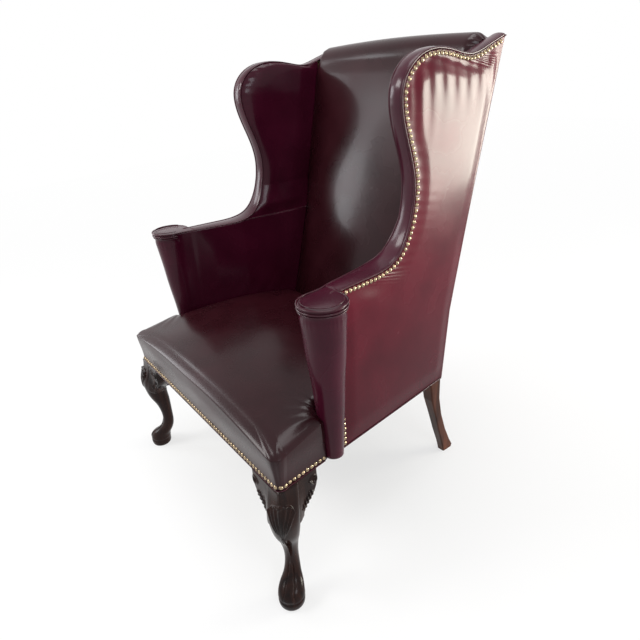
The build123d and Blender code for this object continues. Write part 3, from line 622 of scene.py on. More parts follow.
backdrop()
white_world(0.36)
lamp("key_left", (-1.6, -2.6, 3.0), (0, 0, 0.6), (1.6, 1.1), 74.0, (1.0, 0.99, 0.98))
lamp("window_left", (-2.6, -1.5, 1.5), (0, 0, 0.7), (0.9, 1.4), 26.0, (0.95, 0.97, 1.0))
lamp("window_behind", (1.48, 2.47, 0.50), (0.3, 0.3, 0.9), (1.1, 0.9), 86.0, (1.0, 0.98, 0.86))
lamp("window_right", (2.15, -0.35, 1.85), (-0.3, 0.1, 1.0), (0.8, 0.6), 12.0, (0.90, 0.94, 1.0))
lamp("top", (0.2, 0.4, 3.6), (0, 0, 0.6), (1.6, 1.6), 45.0)

PHOTO_PIXELS, FOCAL_PIXELS = 640.0, 551.2
CENTRE_ACROSS, CENTRE_DOWN = 322.0, 313.1
SENSOR = 36.0
CAMERA_PLACE = [1.1731, -0.73372, 1.12213]
CAMERA_RIGHT = [0.59600452, 0.79616656, -0.10439074]
CAMERA_UP = [-0.29389008, 0.33726939, 0.89435898]
CAMERA_BACK = [0.74726651, -0.50236259, 0.43499954]
camera_data = bpy.data.cameras.new("camera")
camera_data.sensor_width = SENSOR
camera_data.lens = SENSOR * FOCAL_PIXELS / PHOTO_PIXELS
camera_data.shift_x = (PHOTO_PIXELS / 2 - CENTRE_ACROSS) / PHOTO_PIXELS
camera_data.shift_y = (CENTRE_DOWN - PHOTO_PIXELS / 2) / PHOTO_PIXELS
camera = bpy.data.objects.new("camera", camera_data)
bpy.context.scene.collection.objects.link(camera)
place = np.eye(4)
place[:3, 0], place[:3, 1], place[:3, 2] = CAMERA_RIGHT, CAMERA_UP, CAMERA_BACK
place[:3, 3] = CAMERA_PLACE
camera.matrix_world = Matrix(place.tolist())
bpy.context.scene.camera = camera
bpy.context.scene.view_settings.view_transform = "Standard"
print("lens, mm:", round(camera_data.lens, 2))

# %% [markdown]
# ## Outside panels
#
# The large outside panel is one hide, nailed along arm and wing and sewn at the back edge.
# Its outline is not a simple four-sided shape, so straight lines are drawn from each point
# of the front outline to a partner on the back edge, and the grid follows these lines.
# Stretched leather is never quite flat: it swells a little over the stuffing and pulls
# in short folds towards each nail.

# %% Lines between two edges
CREASE_FOOT, CREASE_HEAD = 186.0, 203.0


def crease(z):
    """Depth of the seam between post and outside panel: a straight, slightly raked line."""
    return CREASE_FOOT + (CREASE_HEAD - CREASE_FOOT) * (np.asarray(z, float) - RAIL) / (ARM_TOP - RAIL)


def between(first, second, count):
    """Straight lines from each point of one edge to its partner on the other."""
    a = np.linspace(0, 1, count)[None, :, None]
    return first[:, None] * (1 - a) + second[:, None] * a


def nearest(path, spot):
    """Number of the path's point that lies nearest to a spot."""
    return int(np.argmin(np.linalg.norm(path - np.asarray(spot, float), axis=1)))


def clear_of(grid, path):
    """Shortest distance from each grid point to the points of a path."""
    flat = grid.reshape(-1, 2)
    best = np.full(len(flat), 1e9)
    for start in range(0, len(path), 60):
        gap = flat[:, None] - path[None, start : start + 60]
        best = np.minimum(best, np.hypot(gap[..., 0], gap[..., 1]).min(1))
    return best.reshape(grid.shape[:2])


def partners(path, pairs, edge):
    """For each path point, a point on the other edge, from a few pairs of known partners."""
    at = [nearest(path, spot) for spot, _ in pairs]
    z = np.interp(np.arange(len(path)), at, [height for _, height in pairs])
    return np.stack([edge(z), z], axis=-1)


PANEL_PAIRS = [
    ((186, 312), 312), ((202, 684), 560), ((347, 690), 640), ((417, 739), 700), ((443, 805), 760),
    ((448, 862), 810), ((430, 931), 870), ((410, 1005), 940), ((411, 1053), 985), ((445, 1094), 1030),
    ((502, 1112), 1060), ((571, 1105), 1075), ((624, 1097), 1090), ((682, 1111), 1112), ((742, 1131), 1133),
]


def side_panel(side, seed):
    """Flat side plus a swell, short folds square to the nails and slow waves, all fading at the edges."""
    up = np.linspace(RAIL, 682, 90)
    front = np.stack([crease(up), up], axis=-1)
    edge = inset(OUTLINE, 6.0)
    edge = edge[edge[:, 0] > 205]
    path = walk(np.vstack([front, edge]), 330)
    grid = between(path, partners(path, PANEL_PAIRS, rear_edge), 110)
    y, z = grid[..., 0], grid[..., 1]
    across = clear_of(grid, path)
    width = across + np.linalg.norm(grid[:, -1:] - grid, axis=2)
    row = np.linspace(0, length(path), len(path))[:, None]
    on_nails = smooth(row, 380, 470)
    swell = 3.5 * smooth(across, 8, 50) * smooth(width - across, 0, 40) * smooth(z - RAIL, 0, 50)
    pull = np.sin(row / 4.1 + np.sin(row / 37.0 + seed) * 2.0) * np.exp(-across / 22.0) * smooth(across, 0, 6)
    pull = pull * smooth(width[:, :1], 60, 160)
    lobe = hump(z, 1050, 75) * hump(across, 40, 55)
    folds = np.sin(y / 6.5 + np.sin(z / 60 + seed) * 1.5 + seed) * lobe * smooth(across, 6, 24)
    notch = hump(z, 640, 70) * hump(y, 300, 110)
    diagonal = np.sin((y * 0.55 + z * 0.85) / 11.0 + seed) * notch
    slow = np.sin(y / 71 + seed) * np.sin(z / 93 + 2 * seed) + 0.6 * np.sin((y + z) / 47 + seed)
    wave = swell + on_nails * 0.42 * pull + 0.75 * folds + 0.55 * diagonal
    wave = wave + 0.5 * slow * smooth(across, 0, 30)
    wave = wave * smooth(width - across, -2, 14) * smooth(z - RAIL, -4, 12)
    x = outer_half(y, z) + wave
    points = np.stack([x, y, z], axis=-1)
    name, node = "outside_panel_" + WORD[side], WORD[side] + "_outside_side_cover"
    return sheet_mesh(name, points, (1, 0, 0), side_leather, [node], side)


for side in (1, -1):
    made = side_panel(side, 0.7 if side > 0 else 2.1)
    print(made.name, len(made.data.polygons), "faces")

# %% [markdown]
# ## Arm tops and wing edges
#
# One strip of leather starts as the round cap of the scroll, narrows into the arm top,
# climbs the front of the wing and runs over it to the back corner. It is stuffed, so it is
# crowned across. Near the scroll its sides are a circle, and the outer side steps in
# sharply behind it where the cap meets the panel.

# %% The edge band
OUTER_ROOM, INNER_ROOM = 4.4, 2.2


def band_sides(y, z):
    """Outer and inner X of the strip: inside the outer welt, outside the inner one."""
    return outer_half(y, z) - OUTER_ROOM, inner_half(y, z) + INNER_ROOM


def edge_strip(side, seed):
    """Rows of the cap at cosine steps, then rows along the outline; each row is crowned."""
    turn = np.linspace(0.02, np.pi - 0.10, 44)
    cap_y = SCROLL[1] - SCROLL_RADIUS * np.cos(turn)
    cap_half = SCROLL_RADIUS * np.sin(turn)
    path = OUTLINE[OUTLINE[:, 0] > 206.0]
    path = walk(path, 300)
    d = np.gradient(path, axis=0)
    d /= np.linalg.norm(d, axis=1)[:, None]
    square = np.stack([-d[:, 1], d[:, 0]], axis=-1)
    cap_in = SCROLL[0] - cap_half
    arm_in = inner_half(ARM_FRONT, 688.0) + INNER_ROOM
    tangent = 325.0 - (325.0 - arm_in) * np.clip((cap_y - SCROLL[1]) / 52.0, 0, 1)
    cap_in = np.where(cap_y > SCROLL[1], tangent, cap_in)
    out_x, in_x = band_sides(path[:, 0], path[:, 1])
    y = np.concatenate([cap_y, path[:, 0]])
    z = np.concatenate([np.full(len(cap_y), ARM_TOP), path[:, 1]])
    right = np.concatenate([SCROLL[0] + cap_half, out_x])
    left = np.concatenate([cap_in, in_x])
    lift_y = np.concatenate([np.zeros(len(cap_y)), square[:, 0]])
    lift_z = np.concatenate([np.ones(len(cap_y)), square[:, 1]])
    s = np.linspace(0, 1, 25)[None, :]
    height = np.concatenate([np.full(len(cap_y), 2.6), np.full(len(path), 3.4)])[:, None]
    run = np.concatenate([np.zeros(len(cap_y)), np.linspace(0, length(path), len(path))])[:, None]
    lobe = hump(z, 1060, 60)[:, None]
    pucker = np.sin(run / 3.2 + np.sin(run / 29 + seed)) * lobe * smooth(s, 0.45, 1.0) * 0.7
    crown = height * np.sin(np.pi * s) ** 0.55 - 2.2 + pucker * np.sin(np.pi * s)
    x = right[:, None] * (1 - s) + left[:, None] * s
    y, z = y[:, None] + lift_y[:, None] * crown, z[:, None] + lift_z[:, None] * crown
    points = np.stack([x, y, z], axis=-1)
    name, node = "edge_band_" + WORD[side], WORD[side] + "_edge_band"
    return sheet_mesh(name, points, (0, -0.4, 1), band_leather, [node], side)


for side in (1, -1):
    made = edge_strip(side, 0.3 if side > 0 else 1.4)
    print(made.name, len(made.data.polygons), "faces")

# %% [markdown]
# ## Posts and inside arms
#
# The front post is a slender cone that opens upwards under the scroll cap. The same hide
# runs from the seam at the outside panel, round the front of the cone and on along the
# inside of the arm to the back. Every level is an arc followed by the line of the inner
# arm. Under the cap the hide is gathered, and over the arm's stuffing it swells.

# %% Post and inside arm in one sheet
def cone(z):
    """Centre and radius of the post at a height: straight lines from foot to cap."""
    t = (np.asarray(z, float) - RAIL) / (ARM_TOP - RAIL)
    return 362.0 + 13.0 * t, 164.0 - 10.0 * t, 22.0 + 28.0 * t


def back_side(z):
    """Depth of the back cushion's face beside the arms and wings."""
    return np.interp(z, [397.9, 740.6, 1097.0], [486.0, 578.8, 659.0])


def arm_sheet(side, seed):
    """Arc from the seam round the front, then the inner arm; low edge at the rail, then at the seat."""
    n_arc, n_arm, n_up = 90, 110, 96
    v = np.linspace(0, 1, n_up)[None, :]
    arc = np.linspace(0, 1, n_arc)[:, None]
    arm = np.linspace(0, 1, n_arm + 1)[1:, None]
    top = 687.0
    z_arc = RAIL + 1 + (top - RAIL - 1) * v + 0 * arc
    cx, cy, r = cone(z_arc)
    flat = np.clip((outer_half(cy + r, z_arc) + 1.0 - cx) / r, -1, 1)
    angle = np.arccos(flat) * (1 - arc) - np.pi * arc
    drape = smooth(arc, 0.0, 0.08) * smooth(1 - arc, 0.0, 0.1)
    gather = np.sin(angle * 26 + 2.0 * np.sin(angle * 5 + seed)) * hump(z_arc, 655, 12) * 0.4
    waist = -1.6 * hump(z_arc, 668, 7)
    sag = 0.6 * np.sin(z_arc / 23.0 + angle * 2) * hump(z_arc, 520, 120)
    r = r + (gather + sag) * drape + waist
    x_arc, y_arc = cx + r * np.cos(angle), cy + r * np.sin(angle)
    low = RAIL + 1 + (SEAT_SIDE - RAIL - 1) * smooth(arm, 0, 0.12)
    tx, ty, tr = cone(z_arc[-1:])
    y_back = back_side(np.linspace(SEAT_SIDE, top, n_up))[None, :] + 8
    y = ty + (y_back - ty) * arm
    crest = np.interp(y, OUTLINE[:, 0][:170], OUTLINE[:, 1][:170]) - 3.0
    crest = np.minimum(crest, 692.0)
    z = low + (crest - low) * v
    join_at = smooth(y, ty, ARM_FRONT + 15)
    x_line = (tx - tr) * (1 - join_at) + inner_half(np.maximum(y, ARM_FRONT), z) * join_at
    swell = 7.0 * np.sin(np.pi * smooth(z, 410, 720)) * smooth(y, 190, 260) * smooth(y_back - y, -10, 60)
    slow = 0.9 * np.sin(y / 43 + seed) * np.sin(z / 57 + seed) * smooth(y, 190, 230)
    creases = 0.6 * np.sin((y - z * 0.7) / 9.0 + seed) * hump(z, 470, 30) * hump(y, 380, 90)
    x = x_line - swell - slow - creases
    post, inside = np.stack([x_arc, y_arc, z_arc], -1), np.stack([x, y + 0 * z, z], -1)
    points = np.concatenate([post, inside], axis=0)
    nodes = [WORD[side] + "_inside_arm_cover", WORD[side] + "_arm_padding"]
    return sheet_mesh("arm_and_post_" + WORD[side], points, (-0.5, -1, 0), wing_leather, nodes, side)


for side in (1, -1):
    made = arm_sheet(side, 0.9 if side > 0 else 2.6)
    print(made.name, len(made.data.polygons), "faces")

# %% [markdown]
# ## Inside wings
#
# The hide on the inside of the wing is tight in the corner by the back and full towards
# the front, where it rolls over the stuffing to meet the welt. The roll is an exponential
# rise from the welt: steep at first, then flat. Over the top it gathers in small puckers.

# %% Inside of the wing
WING_PAIRS = [
    ((347, 693), 693), ((417, 742), 735), ((440, 805), 790), ((444, 862), 840), ((426, 932), 900),
    ((406, 1005), 965), ((407, 1054), 1010), ((442, 1097), 1050), ((502, 1115), 1072), ((571, 1107), 1084),
    ((624, 1100), 1092), ((668, 1108), 1104),
]


def wing_sheet(side, seed):
    """Inner face less a swell that rises from the welt and dies in the corner by the back."""
    edge = inset(OUTLINE, 3.0)
    edge = edge[(edge[:, 0] > 345) & (edge[:, 1] > 692)]
    edge = edge[: nearest(edge, (668, 1108)) + 1]
    path = walk(np.vstack([[340.0, 692.5], edge]), 260)
    grid = between(path, partners(path, WING_PAIRS, lambda z: back_side(z) + 10), 90)
    y, z = grid[..., 0], grid[..., 1]
    across = np.linalg.norm(path[:, None] - grid, axis=2)
    width = np.linalg.norm(grid[:, -1] - grid[:, 0], axis=1)[:, None]
    row = np.linspace(0, length(path), len(path))[:, None]
    roll = 9.0 * (1 - np.exp(-across / 16.0)) + 9.0 * (1 - np.exp(-across / 60.0)) * smooth(z, 940, 1040)
    swell = roll * smooth(width - across, -6, 70) * smooth(z - 692, 0, 40)
    pucker = np.sin(row / 3.4 + np.sin(row / 31 + seed)) * np.exp(-across / 16.0) * smooth(across, 0, 5)
    pucker = pucker * hump(z, 1075, 60)
    slow = np.sin(y / 39 + seed) * np.sin(z / 61 + seed) + 0.7 * np.sin((z - y) / 33 + 2 * seed)
    low_pull = np.sin((y * 0.9 + z * 0.4) / 10 + seed) * hump(z, 725, 26) * smooth(across, 0, 20)
    x = inner_half(y, z) + 2.0 - swell - 0.7 * pucker - 0.7 * slow * smooth(across, 0, 30) - 0.5 * low_pull
    points = np.stack([x, y, z], axis=-1)
    nodes = [WORD[side] + "_inside_wing_cover", WORD[side] + "_wing_padding"]
    return sheet_mesh("inside_wing_" + WORD[side], points, (-1, 0, 0), wing_leather, nodes, side)


for side in (1, -1):
    made = wing_sheet(side, 0.4 if side > 0 else 1.9)
    print(made.name, len(made.data.polygons), "faces")

# %% [markdown]
# ## The back
#
# The back is one crowned cushion. Seen from the side its face is a shallow curve that ends
# in a roll over the top, and the roll runs down behind to the nails. Seen from the front
# the middle stands forward of the sides. At both ends of the roll the spare leather is laid in
# pleats, and the roll closes like the end of a bolster.

# %% Inside back
ROLL_DEPTH, ROLL_HEIGHT, ROLL_RADIUS = 704.2, 1105.0, 45.0
BACK_TOP, BACK_END = 1131.0, 1128.0
MIDDLE_FACE = [(449.0, 380.0), (454.9, 397.9), (550.6, 759.0), (659.2, 1105.0)]
SIDE_FACE = [(481.0, 380.0), (486.0, 397.9), (578.8, 740.6), (659.2, 1097.0)]


def back_profile(face, drop, count):
    """Side view: the face as a spline, the roll as an arc, then down to the back edge."""
    start = spline(face, 80)
    turn = np.radians(np.linspace(0, 148, 40))[1:]
    roll_y = ROLL_DEPTH - ROLL_RADIUS * np.cos(turn)
    roll = np.stack([roll_y, ROLL_HEIGHT - drop + ROLL_RADIUS * np.sin(turn)], axis=-1)
    end = np.array([[rear_edge(BACK_TOP) - 1.0, BACK_TOP]])
    return walk(np.vstack([start, roll, end]), count)


def back_sheet():
    """Side views blended by the square of the place across; the ends close round with pleats."""
    count, across = 190, 150
    middle = back_profile(MIDDLE_FACE, 0.0, count)
    edge = back_profile(SIDE_FACE, 8.0, count)
    u = np.sin(np.linspace(-1, 1, across) * np.pi / 2)[:, None]
    y = middle[None, :, 0] * (1 - u**2) + edge[None, :, 0] * u**2
    z = middle[None, :, 1] * (1 - u**2) + edge[None, :, 1] * u**2
    half = np.minimum(inner_half(y, np.minimum(z, BACK_END)) - 1.0, 287.0 + 0 * z)
    on_roll = smooth(z, 1070, 1120)
    half = half + on_roll * (289.0 - half)
    x = u * half
    near_end = smooth(np.abs(x), 258, 289)
    shrink = 1 - np.sqrt(np.clip(1 - near_end**2, 0, 1))
    y = y + (706.0 - y) * shrink * 0.5 * on_roll
    z = z + (1112.0 - z) * shrink * 0.5 * on_roll
    along = np.linspace(0, 1, count)[None, :]
    pleat = np.sin(along * 260.0 + 1.2 * np.sin(u * 9)) * near_end * on_roll
    tuck = hump(along, 0.80, 0.14) * near_end
    side_roll = 5.0 * (1 - np.exp(-(half - np.abs(x)) / 14.0)) * (1 - on_roll)
    slow = np.sin(x / 71 + 0.5) * np.sin(z / 83) + 0.5 * np.sin((x + z) / 43)
    foot = np.sin(x / 13.0 + np.sin(z / 19)) * hump(z, 520, 46) * hump(np.abs(x), 175, 60)
    slack = np.sin((z + np.abs(x) * 0.6) / 16.0) * hump(z, 620, 70) * hump(np.abs(x), 190, 50)
    y = y - side_roll + 5.0 - 0.9 * slow - 0.8 * foot - 0.6 * slack - 1.6 * pleat * (0.5 + tuck)
    z = z + 1.2 * pleat
    nodes = ["inside_back_cover", "back_padding"]
    return sheet_mesh("inside_back", np.stack([x, y, z], -1), (0, -1, 0.3), seat_leather, nodes)


made = back_sheet()
print(made.name, len(made.data.polygons), "faces")

# %% [markdown]
# ## The seat
#
# The seat is sprung and stuffed tight, with no loose cushion. Its plan is a T: full width
# in front of the posts, then narrower between the arms. Rings of points run from the
# plan's edge to the middle. The height of a point is a crown, high in the middle, less
# a quarter round where it is near the edge. Small tight creases run from the posts, and
# a pleat folds the leather at each front corner.

# %% Plan of the seat
def arc_points(centre, radius, first, last, count):
    """Part of a circle in plan, angles in degrees."""
    a = np.radians(np.linspace(first, last, count))
    return np.stack([centre[0] + radius * np.cos(a), centre[1] + radius * np.sin(a)], axis=-1)


def seat_plan(level):
    """Right half from the front middle round the corner, past the post and along the arm, then mirrored."""
    front = np.column_stack([np.linspace(0, 370, 92), np.zeros(92)])
    corner = arc_points(SEAT_CORNER, CORNER_RADIUS, -90, 8, 16)
    cx, cy, r = cone(level)
    post = arc_points((cx, cy), r + 0.6, -80, -172, 26)
    side_y = np.linspace(24, post[0, 1] - 3, 34)
    side = np.stack([outer_half(side_y, RAIL), side_y], axis=-1)
    arm_y = np.linspace(196, 486, 70)
    arm = np.stack([inner_half(arm_y, 440.0) - 0.5, arm_y], axis=-1)
    back_x = np.linspace(240, 0, 48)
    back = np.stack([back_x, 466.0 + 22.0 * (back_x / 285.0) ** 2], axis=-1)
    half = np.vstack([front, corner, side, post, arm, back])
    other = half[::-1] * [-1, 1]
    return np.vstack([half, other[1:-1]])


PLAN = seat_plan(430.0)
FOOT_PLAN = seat_plan(RAIL)


def away(points):
    """Shortest distance in plan from each point to the edge of the seat."""
    flat = points.reshape(-1, 2)
    a, b = PLAN, np.roll(PLAN, -1, 0)
    best = np.full(len(flat), 1e9)
    for chunk in range(0, len(a), 80):
        p, q = a[chunk : chunk + 80], b[chunk : chunk + 80]
        d = q - p
        t = ((flat[:, None] - p) * d).sum(-1) / np.maximum((d * d).sum(-1), 1e-9)
        foot = p + np.clip(t, 0, 1)[..., None] * d
        best = np.minimum(best, np.linalg.norm(flat[:, None] - foot, axis=-1).min(1))
    return best.reshape(points.shape[:-1])


print("seat plan points:", len(PLAN))

# %% Seat leather
def seat_height(x, y):
    """Crown: an arc front to back, falling off across by a power of the place."""
    front = curve(y, [-20, 28, 90, 170, 265, 350, 430, 500], [432, 443, 460, 475, 483, 480, 468, 452])
    fall = curve(y, [-20, 60, 240, 500], [22, 28, 40, 36])
    return front - fall * np.clip(np.abs(x) / 366.0, 0, 1.2) ** 2.3


def seat_sheet():
    """Rings towards the middle for the top, rows down the wall for the front and sides."""
    centre = np.array([0.0, 62.0])
    share = np.linspace(0, 1, 58) ** 1.55
    ring = PLAN[:, None] + (centre - PLAN)[:, None] * share[None, :, None]
    x, y = ring[..., 0], ring[..., 1]
    d = away(ring)
    in_front = smooth(-PLAN[:, 1], -150, -118)[:, None]
    radius = 34.0 * in_front + 22.0 * (1 - in_front)
    bulge = 8.0 * in_front
    step = np.clip(1 - (d + bulge) / (radius + bulge), 0, 1)
    drop = radius * (1 - np.sqrt(np.clip(1 - step**2, 0, 1)))
    z = seat_height(x, y) - drop
    post_pull = hump(np.hypot(np.abs(x) - 352, y - 128), 0, 60)
    spokes = np.sin(np.arctan2(y - 150, np.abs(x) - 366) * 17) * post_pull * smooth(d, 4, 16)
    slow = np.sin(x / 47 + 1.0) * np.sin(y / 53) + 0.6 * np.sin((x - y) / 31) + 0.5 * np.sin((x + 2 * y) / 39)
    hollow = hump(x, 30, 190) * hump(y, 300, 110)
    z = z + 0.9 * spokes - 0.6 * slow * smooth(d, 5, 60) - 3.0 * hollow
    tangent = np.roll(PLAN, -1, 0) - np.roll(PLAN, 1, 0)
    tangent /= np.linalg.norm(tangent, axis=1)[:, None]
    out = np.stack([tangent[:, 1], -tangent[:, 0]], axis=-1)
    rise = np.linspace(1, 0, 24)[None, :]
    low = np.where(in_front > 0.5, RAIL + 0.6, SEAT_SIDE)
    edge_z = z[:, :1]
    wall_z = low + (edge_z - low) * rise
    swell = 8.0 * in_front * smooth(wall_z, 322, 396)
    corner = hump(np.abs(PLAN[:, :1]), 384, 9) * hump(PLAN[:, 1:], 4, 9)
    fold = np.sin((np.abs(PLAN[:, :1]) + PLAN[:, 1:] - 392) / 2.4) * corner * smooth(wall_z, 316, 340) * 0.9
    gentle = 0.7 * np.sin(PLAN[:, :1] / 57 + 2) * np.sin(wall_z / 21) * in_front
    off = swell + fold + gentle
    down = np.clip((430.0 - wall_z) / 118.0, 0, 1)
    wall_x = PLAN[:, :1] + (FOOT_PLAN - PLAN)[:, :1] * down + out[:, :1] * off
    wall_y = PLAN[:, 1:] + (FOOT_PLAN - PLAN)[:, 1:] * down + out[:, 1:] * off
    blend = step / np.maximum(step[:, :1], 1e-6) * smooth(share, 0.25, 0.0)[None, :]
    x = x + out[:, :1] * off[:, :1] * blend
    y = y + out[:, 1:] * off[:, :1] * blend
    wall = np.stack([wall_x, wall_y, wall_z + 0 * wall_x], -1)[:, :0:-1]
    top = np.stack([x, y, z], -1)
    grid = np.concatenate([wall, top[:, :-1]], axis=1)
    nu, nv = grid.shape[:2]
    verts = np.vstack([grid.reshape(-1, 3), [[centre[0], centre[1], float(z[:, -1].mean())]]])
    faces = grid_faces(nu, nv, wrap=True).tolist()
    faces += [[i * nv + nv - 1, ((i + 1) % nu) * nv + nv - 1, nu * nv] for i in range(nu)]
    nodes = ["seat_cover", "seat_padding"]
    return loose_mesh("seat", [(verts, faces)], seat_leather, nodes, thickness=LEATHER)


made = seat_sheet()
print(made.name, len(made.data.polygons), "faces")

# %% [markdown]
# ## The outside back
#
# Behind the chair one hide is nailed to the back frame. It follows the two straight runs
# of the back edge with a soft knee between them, and it bows out a little in the middle
# because the stuffing presses on it.

# %% Back panel
def outside_back():
    """Back edge plus a swell that fades to nothing in the width of the nail rows."""
    z = np.linspace(RAIL + 0.5, BACK_END, 170)[None, :]
    u = np.linspace(-1, 1, 130)[:, None]
    half = outer_half(rear_edge(z), z) - 2.4
    x = u * half
    in_from_side = half - np.abs(x)
    in_from_end = np.minimum(z - RAIL - 0.5, BACK_END - z)
    inner = smooth(in_from_side, 18, 70) * smooth(in_from_end, 14, 80)
    pull = np.sin(z / 2.0 + 0 * u) * np.exp(-((in_from_side - 20) / 9.0) ** 2) * 0.35
    slow = np.sin(x / 83 + 0.4) * np.sin(z / 107) + 0.5 * np.sin((x - z) / 61)
    y = rear_edge(z) - 0.2 + 5.0 * inner + 0.7 * slow * inner + pull * smooth(in_from_end, 10, 30)
    points = np.stack([x, y + 0 * x, z + 0 * x], axis=-1)
    return sheet_mesh("outside_back", points, (0, 1, 0), side_leather, ["outside_back_cover"])


made = outside_back()
print(made.name, len(made.data.polygons), "faces")

# %% [markdown]
# ## Welts
#
# A welt is a cord wrapped in a strip of leather and sewn into a seam, so it is modelled as
# a round tube along the seam. Two welts border the edge band, two rings and a fine border
# finish the scroll like the mouldings of a column, and thin ones close the seams above the
# arm, along the seat rail and under the seat nails.

# %% Piping along the seams
def on_outline(distance, first, last, count):
    """Part of the outline, moved in by distance, at even steps."""
    path = inset(OUTLINE, distance)
    return walk(path[(path[:, 0] > first) & (path[:, 0] < last)], count)


def scroll_ring(z, radius, first, last):
    """A ring round the post at one height, from the seam at its back round the front."""
    cx, cy, r = cone(z)
    ring = arc_points((cx, cy), r + radius * 0.4, first, last, 90)
    return np.column_stack([ring, np.full(len(ring), z)])


def welts(side):
    """All cords of one side in one mesh."""
    outer = on_outline(2.4, 208, 739, 330)
    outer = np.column_stack([outer_half(outer[:, 0], outer[:, 1]) - 2.0, outer])
    curl = [(361.0, 185, 686.6), (356.5, 190, 689.0), (354.0, 199, 689.4), outer[0], outer[6]]
    curl = spline(curl, 30)[:-8]
    outer = walk(np.vstack([curl, outer[4:]]), 350)
    inner = on_outline(2.0, 214, 640, 300)
    inner = np.column_stack([inner_half(inner[:, 0], inner[:, 1]) + 1.6, inner])
    rim = np.column_stack([arc_points(SCROLL, SCROLL_RADIUS + 0.6, 185, 432, 110), np.full(110, 688.6)])
    close = spline([rim[-1], (380.0, 205.0, 688.6), (368.0, 204.6, 688.8), (360.5, 202.5, 689.0)], 16)[1:]
    lead = spline([inner[3], inner[0], (319.5, 192.0, 688.6), (322.6, 172.0, 688.6), rim[0]], 40)[4:-1]
    inner = walk(np.vstack([inner[::-1], lead, rim, close]), 560)
    seam_y = np.linspace(352, back_side(693.0) + 4, 60)
    seam = np.column_stack([inner_half(seam_y, 693.0) + 0.4, seam_y, np.full(60, 692.4)])
    foot_y = np.linspace(190, 572, 90)
    foot = np.column_stack([outer_half(foot_y, RAIL) + 0.6, foot_y, np.full(90, 311.6)])
    cords = [(outer, 2.7), (inner, 2.1), (seam, 1.7), (foot, 1.6)]
    cords += [(scroll_ring(680.5, 2.3, 104, -180), 2.3), (scroll_ring(674.8, 1.5, 104, -178), 1.5)]
    border = np.column_stack([arc_points(SCROLL, 43.5, 178, 418, 90), np.full(90, 692.9)])
    cords.append((border, 1.0))
    parts = [tube_arrays(path, radius) for path, radius in cords]
    nodes = [WORD[side] + "_welts"]
    return loose_mesh("welts_" + WORD[side], parts, welt_leather, nodes, side)


for side in (1, -1):
    made = welts(side)
    print(made.name, len(made.data.polygons), "faces")

hem_y = np.linspace(26, 134, 20)
hem_side = np.column_stack([outer_half(hem_y, RAIL) + 0.6, hem_y])
hem = np.vstack([arc_points(SEAT_CORNER, CORNER_RADIUS + 0.6, -90, 8, 12), hem_side])
hem = np.vstack([hem[::-1] * [-1, 1], hem])
hem = walk(np.column_stack([hem, np.full(len(hem), 312.4)]), 240)
made = loose_mesh("seat_hem", [tube_arrays(hem, 1.5)], welt_leather)
print(made.name, len(made.data.polygons), "faces")

# %% [markdown]
# ## Nails
#
# More than four hundred and sixty domed brass heads are set by hand almost edge to edge. One
# head is a low dome with a short skirt, three dozen faces in all. It is copied onto every place at
# once by adding arrays: place plus the head's own points along two tangents and the
# normal. Small random shifts keep the rows from looking machined.

# %% One head and the rows
HEAD_RINGS = [(5.3, -0.8), (5.3, 0.1), (4.30, 1.35), (2.60, 2.45)]
AROUND = 9
PITCH = 12.52
FINE_STEPS = 12


def head():
    """Rings of a ball cap with a skirt: points and faces, closed below and at the top."""
    angle = np.linspace(0, 2 * np.pi, AROUND, endpoint=False)
    level = np.ones(AROUND)
    rings = [np.column_stack([r * np.cos(angle), r * np.sin(angle), z * level]) for r, z in HEAD_RINGS]
    verts = np.vstack(rings + [[[0.0, 0.0, 3.0]]])
    faces = []
    for k in range(len(rings) - 1):
        for j in range(AROUND):
            n = (j + 1) % AROUND
            faces.append([k * AROUND + j, k * AROUND + n, (k + 1) * AROUND + n, (k + 1) * AROUND + j])
    last = (len(rings) - 1) * AROUND
    faces += [[last + j, last + (j + 1) % AROUND, len(verts) - 1] for j in range(AROUND)]
    faces.append(list(range(AROUND))[::-1])
    return verts, faces


def set_nails(name, rows, nodes, side=1, seed=3):
    """Each row is places and one normal per place; every head gets a small shift and tilt."""
    rng = np.random.default_rng(seed)
    spots = np.vstack([np.asarray(p, float) for p, _ in rows])
    normal = np.vstack([np.broadcast_to(np.asarray(n, float), np.shape(p)) for p, n in rows])
    normal = normal / np.linalg.norm(normal, axis=1)[:, None]
    normal = normal + rng.normal(0, 0.035, normal.shape)
    normal /= np.linalg.norm(normal, axis=1)[:, None]
    first = np.cross(normal, [0.30, 0.20, 0.93])
    first /= np.linalg.norm(first, axis=1)[:, None]
    second = np.cross(normal, first)
    spots = spots + first * rng.normal(0, 0.22, (len(spots), 1))
    spots = spots + second * rng.normal(0, 0.22, (len(spots), 1))
    v, f = head()
    points = spots[:, None] + v[:, 0:1] * first[:, None] + v[:, 1:2] * second[:, None]
    points = (points + v[:, 2:3] * normal[:, None]).reshape(-1, 3)
    starts = range(0, len(points), len(v))
    faces = [[start + k for k in face] for start in starts for face in f]
    return loose_mesh(name, [(points, faces)], brass, nodes, side)


def row(start, end):
    """Even places on a straight run, both ends included."""
    start, end = np.asarray(start, float), np.asarray(end, float)
    count = round(float(np.linalg.norm(end - start)) / PITCH)
    return start + (end - start) * np.linspace(0, 1, count + 1)[:, None]


def on_side(flat):
    """Side view places set on the outer face, with its normal."""
    y, z = flat[:, 0], flat[:, 1]
    place = np.column_stack([outer_half(y, z) + 0.6, y, z])
    by_depth = (outer_half(y + 5, z) - outer_half(y - 5, z)) / 10
    by_height = (outer_half(y, z + 5) - outer_half(y, z - 5)) / 10
    return place, np.column_stack([np.ones(len(y)), -by_depth, -by_height])


